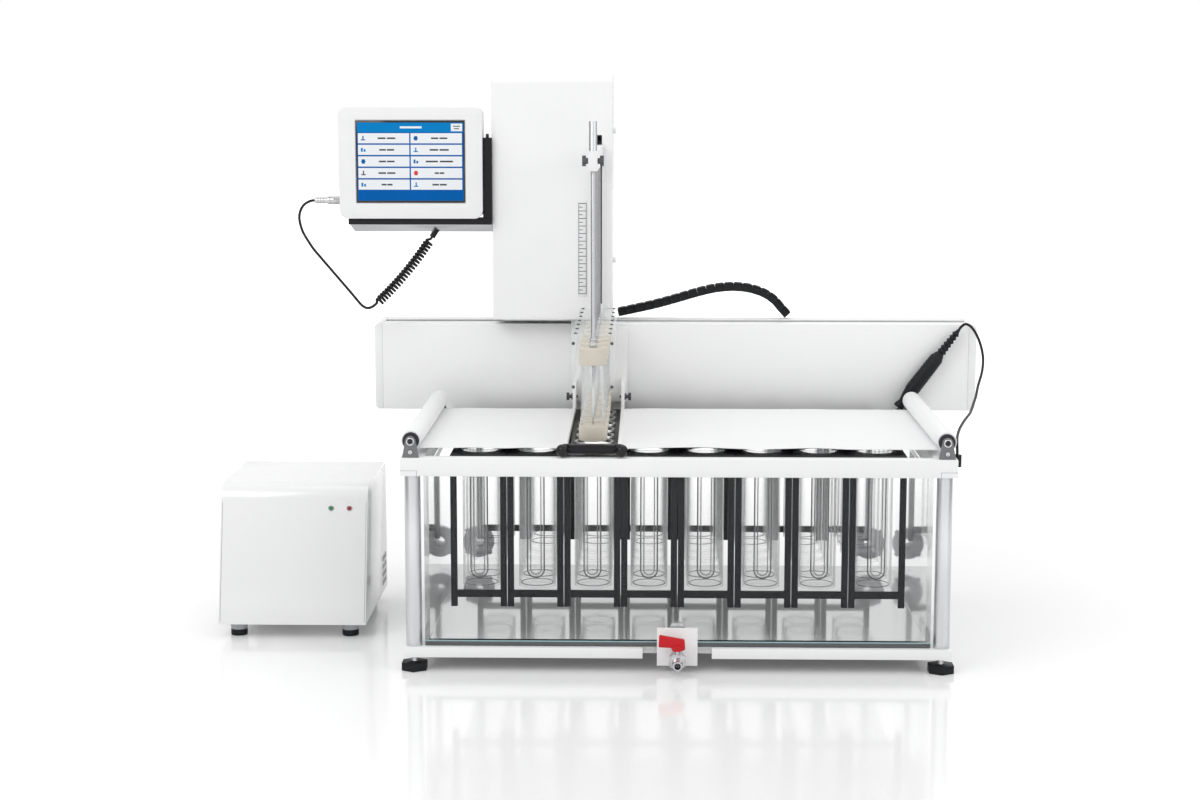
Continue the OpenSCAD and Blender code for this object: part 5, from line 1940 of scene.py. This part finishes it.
@dataclass
class Display(Assembly):
    """Touch display on its shelf, with a generic menu, in bath millimetres.

    Attributes:
        bar_z: Foot and top of the shelf's bright bar.
        middle: The screen's middle, across and up.
        face_y: How far back the screen's glass is.
        frame_tiles: Name, edges, lift and finish of the tiles round the keys.
        columns: Left edge of each column of keys.
        rows: Number of keys in a column.
        key_size: Width and height of a key's place.
        keys_top: Top of the highest key.
        key_gap: What a key's face leaves free of its place.
        row_gap: What lies between the places.
        lifts: How far keys and ink stand off the glass.
        icon_x: From a key's left edge to the middle of its pictogram.
        word_x: From a key's left edge to the middle of its words.
        word_half: Half of the words' height.
        word_parts: Where each of two words begins and ends, as shares of their length.
        words: Length of the words on each key.
        plug: Where the connector meets the housing.
        rings: How far from there each ring of the connector is, and its radius.
    """

    castings: tuple[Casting, ...] = (
        Casting("display_housing", Finishes.BEZEL, 3.0, 4),
        Casting("display_screen", Finishes.PANEL, 0.2),
        Casting("display_shelf", Finishes.SHEET_BLACK, 0.6),
        Casting("display_plug", Finishes.CHROME, 0.4),
    )
    bar_z: Pair = (559.9, 571.05)
    middle: Pair = (-389.75, 663.5)
    face_y: float = 387.55
    frame_tiles: tuple[tuple[str, Box, float, Finish], ...] = (
        ("field", (-78, -57, 78, 57), 0.08, Finishes.BLUE),
        ("header", (-78, 43, 78, 57), 0.14, Finishes.SKY),
        ("title", (-15, 48.6, 17, 51.6), 0.2, Finishes.KEY),
        ("corner_key", (60, 44.5, 76.5, 55.5), 0.2, Finishes.KEY),
        ("corner_line_a", (63, 51, 73.5, 52.4), 0.26, Finishes.INK),
        ("corner_line_b", (64.5, 47.4, 72, 48.8), 0.26, Finishes.INK),
        ("footer", (-78, -57, 78, -42.5), 0.12, Finishes.BLUE),
    )
    columns: Pair = (-76.8, 0.6)
    rows: int = 5
    key_size: Pair = (75.4, 16.6)
    keys_top: float = 41.6
    key_gap: float = 1.9
    row_gap: float = 0.35
    lifts: Pair = (0.2, 0.26)
    icon_x: float = 7.5
    word_x: float = 42.0
    word_half: float = 1.2
    word_parts: tuple[Pair, Pair] = ((0.0, 0.45), (0.52, 1.0))
    words: tuple[float, ...] = (26, 22, 23, 25, 16, 24, 28, 40, 14, 21)
    plug: Point = (-495.25, 405.0, 606.0)
    rings: tuple[Pair, ...] = ((-3, 6), (-6, 6), (-9, 6), (-16, 6), (-26, 4.5), (-30, 4.5), (-34, 4.5))

    def build(self) -> None:
        """Makes the display."""
        self.cast_all()
        foot, top = self.bar_z
        self.bench.paint(self.pieces["display_shelf"], Finishes.BAR, lambda c, n: foot < c.z < top)
        self.menu()
        self.plug_rings()

    def tile(self, name: str, box: Box, lift: float, finish: Finish) -> Piece:
        """A flat tile of the menu.

        Args:
            name: The piece's name.
            box: Left, lower, right and upper edge from the screen's middle.
            lift: How far its face stands off the glass.
            finish: Its finish.

        Returns:
            The tile.
        """
        x0, z0, x1, z1 = box
        x, z = self.middle
        low, high = at(x + x0, self.face_y - lift, z + z0), at(x + x1, self.face_y, z + z1)
        return self.strip(name, low, high, 0.05, finish)

    def menu(self) -> None:
        """A header, two columns of keys with pictograms and word bars, and a footer."""
        tiles = [self.tile(*row) for row in self.frame_tiles]
        width, height = self.key_size
        key_lift, ink_lift = self.lifts
        for column, x0 in enumerate(self.columns):
            for row in range(self.rows):
                i = column * self.rows + row
                top = self.keys_top - row * (height + self.row_gap)
                key = (x0, top - height + self.key_gap, x0 + width, top)
                tiles.append(self.tile(f"key_{i}", key, key_lift, Finishes.KEY))
                mid = top - (height - self.key_gap) / 2
                tiles.extend(self.pictogram(i, x0 + self.icon_x, mid))
                length = self.words[i]
                start = x0 + self.word_x - length / 2
                low, high = mid - self.word_half, mid + self.word_half
                for part, (first, last) in zip(("", "b"), self.word_parts):
                    box = (start + length * first, low, start + length * last, high)
                    tiles.append(self.tile(f"word_{i}{part}", box, ink_lift, Finishes.INK))
        self.group("menu", tiles, "carriage")

    def pictogram(self, index: int, x: float, z: float) -> list[Piece]:
        """A small plain pictogram beside a key's words.

        Args:
            index: Number of the key.
            x: Its middle across the screen.
            z: Its middle up the screen.

        Returns:
            Its tiles.
        """
        finish = (Finishes.BLUE, Finishes.SKY, Finishes.BLUE, Finishes.INK, Finishes.SKY)[index % 5]
        if index == 8:
            finish = Finishes.RED_ICON
        boxes = (
            ((-3.2, -3.2, 3.2, -1.6), (-0.9, -1.6, 0.9, 3.4)),
            ((-3.4, -2.8, -0.6, 2.8), (0.6, -2.8, 3.4, 1.0)),
            ((-2.4, -3.2, 2.4, 3.2), (-3.4, -0.7, 3.4, 0.7)),
        )[index % 3]
        ink = self.lifts[1]
        return [
            self.tile(f"pictogram_{index}_{k}", (x + a, z + b, x + c, z + d), ink + 0.04 * k, finish)
            for k, (a, b, c, d) in enumerate(boxes)
        ]

    def plug_rings(self) -> None:
        """The gripping rings of the round connector."""
        x, y, z = self.plug
        rings = []
        for i, (offset, radius) in enumerate(self.rings):
            middle = at(x + offset, y, z)
            finish = Finishes.CHROME if offset > -20 else Finishes.STEEL
            rings.append(self.band(f"plug_ring_{i}", middle, (1, 0, 0), (radius / 1000, 0.0007), finish))
        self.group("plug_rings", rings, "carriage")


@dataclass
class Probe(Assembly):
    """Temperature probe in its holder, in bath millimetres.

    Attributes:
        tip: Where the probe's axis leaves the bath.
        lean: How far it leans to the right, in radians.
        sensor: How far along the axis, across it and to the right the steel sensor reaches.
        ring_starts: How far along the axis each grip ring is.
    """

    castings: tuple[Casting, ...] = (Casting("probe", Finishes.BLACK, 0.4),)
    tip: Point = (333.0, 424.0, 292.0)
    lean: float = math.radians(37)
    sensor: Point = (4.9, 2.9, 345.0)
    ring_starts: tuple[float, ...] = tuple(44.0 + 6 * i for i in range(8))

    def build(self) -> None:
        """Makes the probe."""
        self.cast_all()
        self.bench.paint(self.pieces["probe"], Finishes.STEEL, self.on_sensor)
        self.grip()

    def way(self) -> Vector:
        """The direction of the probe's axis."""
        return Vector((math.sin(self.lean), 0, math.cos(self.lean)))

    def on_sensor(self, centre: Vector, normal: Vector) -> bool:
        """Whether a face belongs to the steel sensor.

        Args:
            centre: The face's centre in bath millimetres.
            normal: Its normal; not used.

        Returns:
            Whether it does.
        """
        length, radius, right = self.sensor
        reach = centre - Vector(self.tip)
        along = reach.dot(self.way())
        across = (reach - self.way() * along).length
        return along < length and across < radius and centre.x < right

    def grip(self) -> None:
        """The moulded grip rings on the probe's tapering handle."""
        rings = []
        for i, along in enumerate(self.ring_starts):
            middle = Vector(self.tip) + self.way() * along
            sizes = (0.0109 - 0.0000133 * (along - 40), 0.0007)
            rings.append(self.band(f"grip_{i}", at(*middle), self.way(), sizes, Finishes.BLACK))
        self.group("probe_grip", rings, "bath")


@dataclass
class Heater(Assembly):
    """Separate heater box with its lamps, vents and hose nozzles, in bath millimetres.

    Attributes:
        left: Its left side.
        right: Its right side.
        foot_height: Height of its feet.
        front_y: How far back its front is at its foot.
        slope: How far the front leans back for each millimetre up.
        front_way: The direction that the front looks along.
        lamp_z: Height of the lamps.
        lamp_row: Name, place across and finish of each lamp.
        vent_ys: Front edge of each side vent.
        vent_zs: Lower edge of each row of side vents.
        vent_size: Width and height of a side vent.
        back_vent_xs: Left edge of each vent in the back.
        back_vent_width: Width of a vent in the back.
        back_vent: Front, rear, foot and top of the vents in the back.
        joint_inset: From the box's sides to the side panels' joints.
        joint_zs: Foot and top of these joints.
        pad_inset: From the box's sides to the middle of the feet.
        pad_ys: How far back the feet are.
        pad_zs: Foot and top of their rubber caps.
        pad_radius: Radius of the caps, in metres.
    """

    castings: tuple[Casting, ...] = (
        Casting("heater_casing", Finishes.GLOSS, 2.0, 3),
        Casting("heater_fittings", Finishes.SATIN, 0.5),
    )
    left: float = -646.0
    right: float = -437.0
    foot_height: float = 20.0
    front_y: float = 170.0
    slope: float = 42.8 / 173.3
    front_way: Point = (0, -0.971, 0.2397)
    lamp_z: float = 180.0
    lamp_row: tuple[tuple[str, float, Finish], ...] = (
        ("green", -489.0, Finishes.GREEN_LAMP),
        ("red", -463.0, Finishes.RED_LAMP),
    )
    vent_ys: tuple[float, ...] = tuple(372.0 + 9 * k for k in range(5))
    vent_zs: tuple[float, ...] = tuple(30.0 + 12 * row for row in range(4))
    vent_size: Pair = (3.0, 8.0)
    back_vent_xs: tuple[float, ...] = tuple(-622.0 + 14 * k for k in range(12))
    back_vent_width: float = 4.0
    back_vent: Box = (421.8, 422.1, 120.0, 170.0)
    joint_inset: float = 2.2
    joint_zs: Pair = (24.0, 188.0)
    pad_inset: float = 25.0
    pad_ys: Pair = (195.0, 397.0)
    pad_zs: Pair = (0.1, 9.5)
    pad_radius: float = 0.0118

    def build(self) -> None:
        """Makes the heater box."""
        self.cast_all()
        casing = self.pieces["heater_casing"]
        self.bench.paint(casing, Finishes.GREY, lambda c, n: c.z < self.foot_height - 0.1)
        self.lamps()
        self.vents()
        self.joint_line()
        self.foot_pads()

    def front(self, z: float) -> float:
        """How far back the leaning front is at a height."""
        return self.front_y + self.slope * (z - self.foot_height)

    def lamps(self) -> None:
        """Two signal lamps in plated bezels on the leaning front."""
        bench = self.bench
        way = Vector(self.front_way)
        for name, x, finish in self.lamp_row:
            seat = at(x, self.front(self.lamp_z), self.lamp_z)
            rim = self.band(f"{name}_rim", seat, way, (0.0034, 0.0009), Finishes.CHROME)
            dome = bench.rod(f"{name}_dome", seat - way * 0.001, seat + way * 0.0018, 0.0030, 28)
            bench.sink(dome, facing(way), 0.0012, 0.0009)
            bench.ease(dome, 0.7, 3)
            bench.dress(dome, finish)
            self.group(f"{name}_lamp_piece", [rim, dome], "bath")

    def vents(self) -> None:
        """Rows of vent slots low on the right side and on the back."""
        width, height = self.vent_size
        slots = []
        for row, z in enumerate(self.vent_zs):
            for k, y in enumerate(self.vent_ys):
                low, high = at(self.right - 0.3, y, z), at(self.right + 0.1, y + width, z + height)
                slots.append(self.strip(f"vent_{row}{k}", low, high, 0.08, Finishes.VENT))
        front, rear, foot, top = self.back_vent
        for k, x in enumerate(self.back_vent_xs):
            low, high = at(x, front, foot), at(x + self.back_vent_width, rear, top)
            slots.append(self.strip(f"back_vent_{k}", low, high, 0.08, Finishes.INK))
        self.group("heater_vents", slots, "bath")

    def joint_line(self) -> None:
        """The fine joint between the leaning front and each side panel."""
        bench = self.bench
        lines = []
        for i, x in enumerate((self.left + self.joint_inset, self.right - self.joint_inset)):
            start, end = (at(x, self.front(z) + 0.25, z) for z in self.joint_zs)
            line = bench.rod(f"joint_{i}", start, end, 0.0005, 10)
            bench.sink(line, lambda c, n: abs(n.z) > ALONG, 0.0001, 0.0002)
            bench.ease(line, 0)
            lines.append(bench.dress(line, Finishes.GREY))
        self.group("heater_joints", lines, "bath")

    def foot_pads(self) -> None:
        """The black rubber caps on the lower half of the four feet."""
        bench = self.bench
        pads = []
        for x in (self.left + self.pad_inset, self.right - self.pad_inset):
            for y in self.pad_ys:
                foot, top = (at(x, y, z) for z in self.pad_zs)
                pad = bench.rod(f"pad_{len(pads)}", foot, top, self.pad_radius, 40)
                bench.sink(pad, facing((0, 0, -1)), 0.0022, 0.0)
                bench.ease(pad, 1.5, 3)
                pads.append(bench.dress(pad, Finishes.BLACK))
        self.group("heater_foot_pads", pads, "bath")


def main() -> None:
    """Builds the studio and the sub-assemblies in order."""
    logging.basicConfig(level=logging.INFO, format="%(name)s: %(message)s")
    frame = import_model()
    studio = Studio()
    studio.camera()
    studio.light_paths()
    bench = Workbench(frame)
    for assembly in (Cords, BathFrame, Racks, Covers, Beam, Tower, Display, Probe, Heater):
        assembly(bench).build()
        LOG.info("%s done", assembly.__name__)
    studio.floor()
    studio.lamps()
    studio.world()


if __name__ == "__main__":
    main()
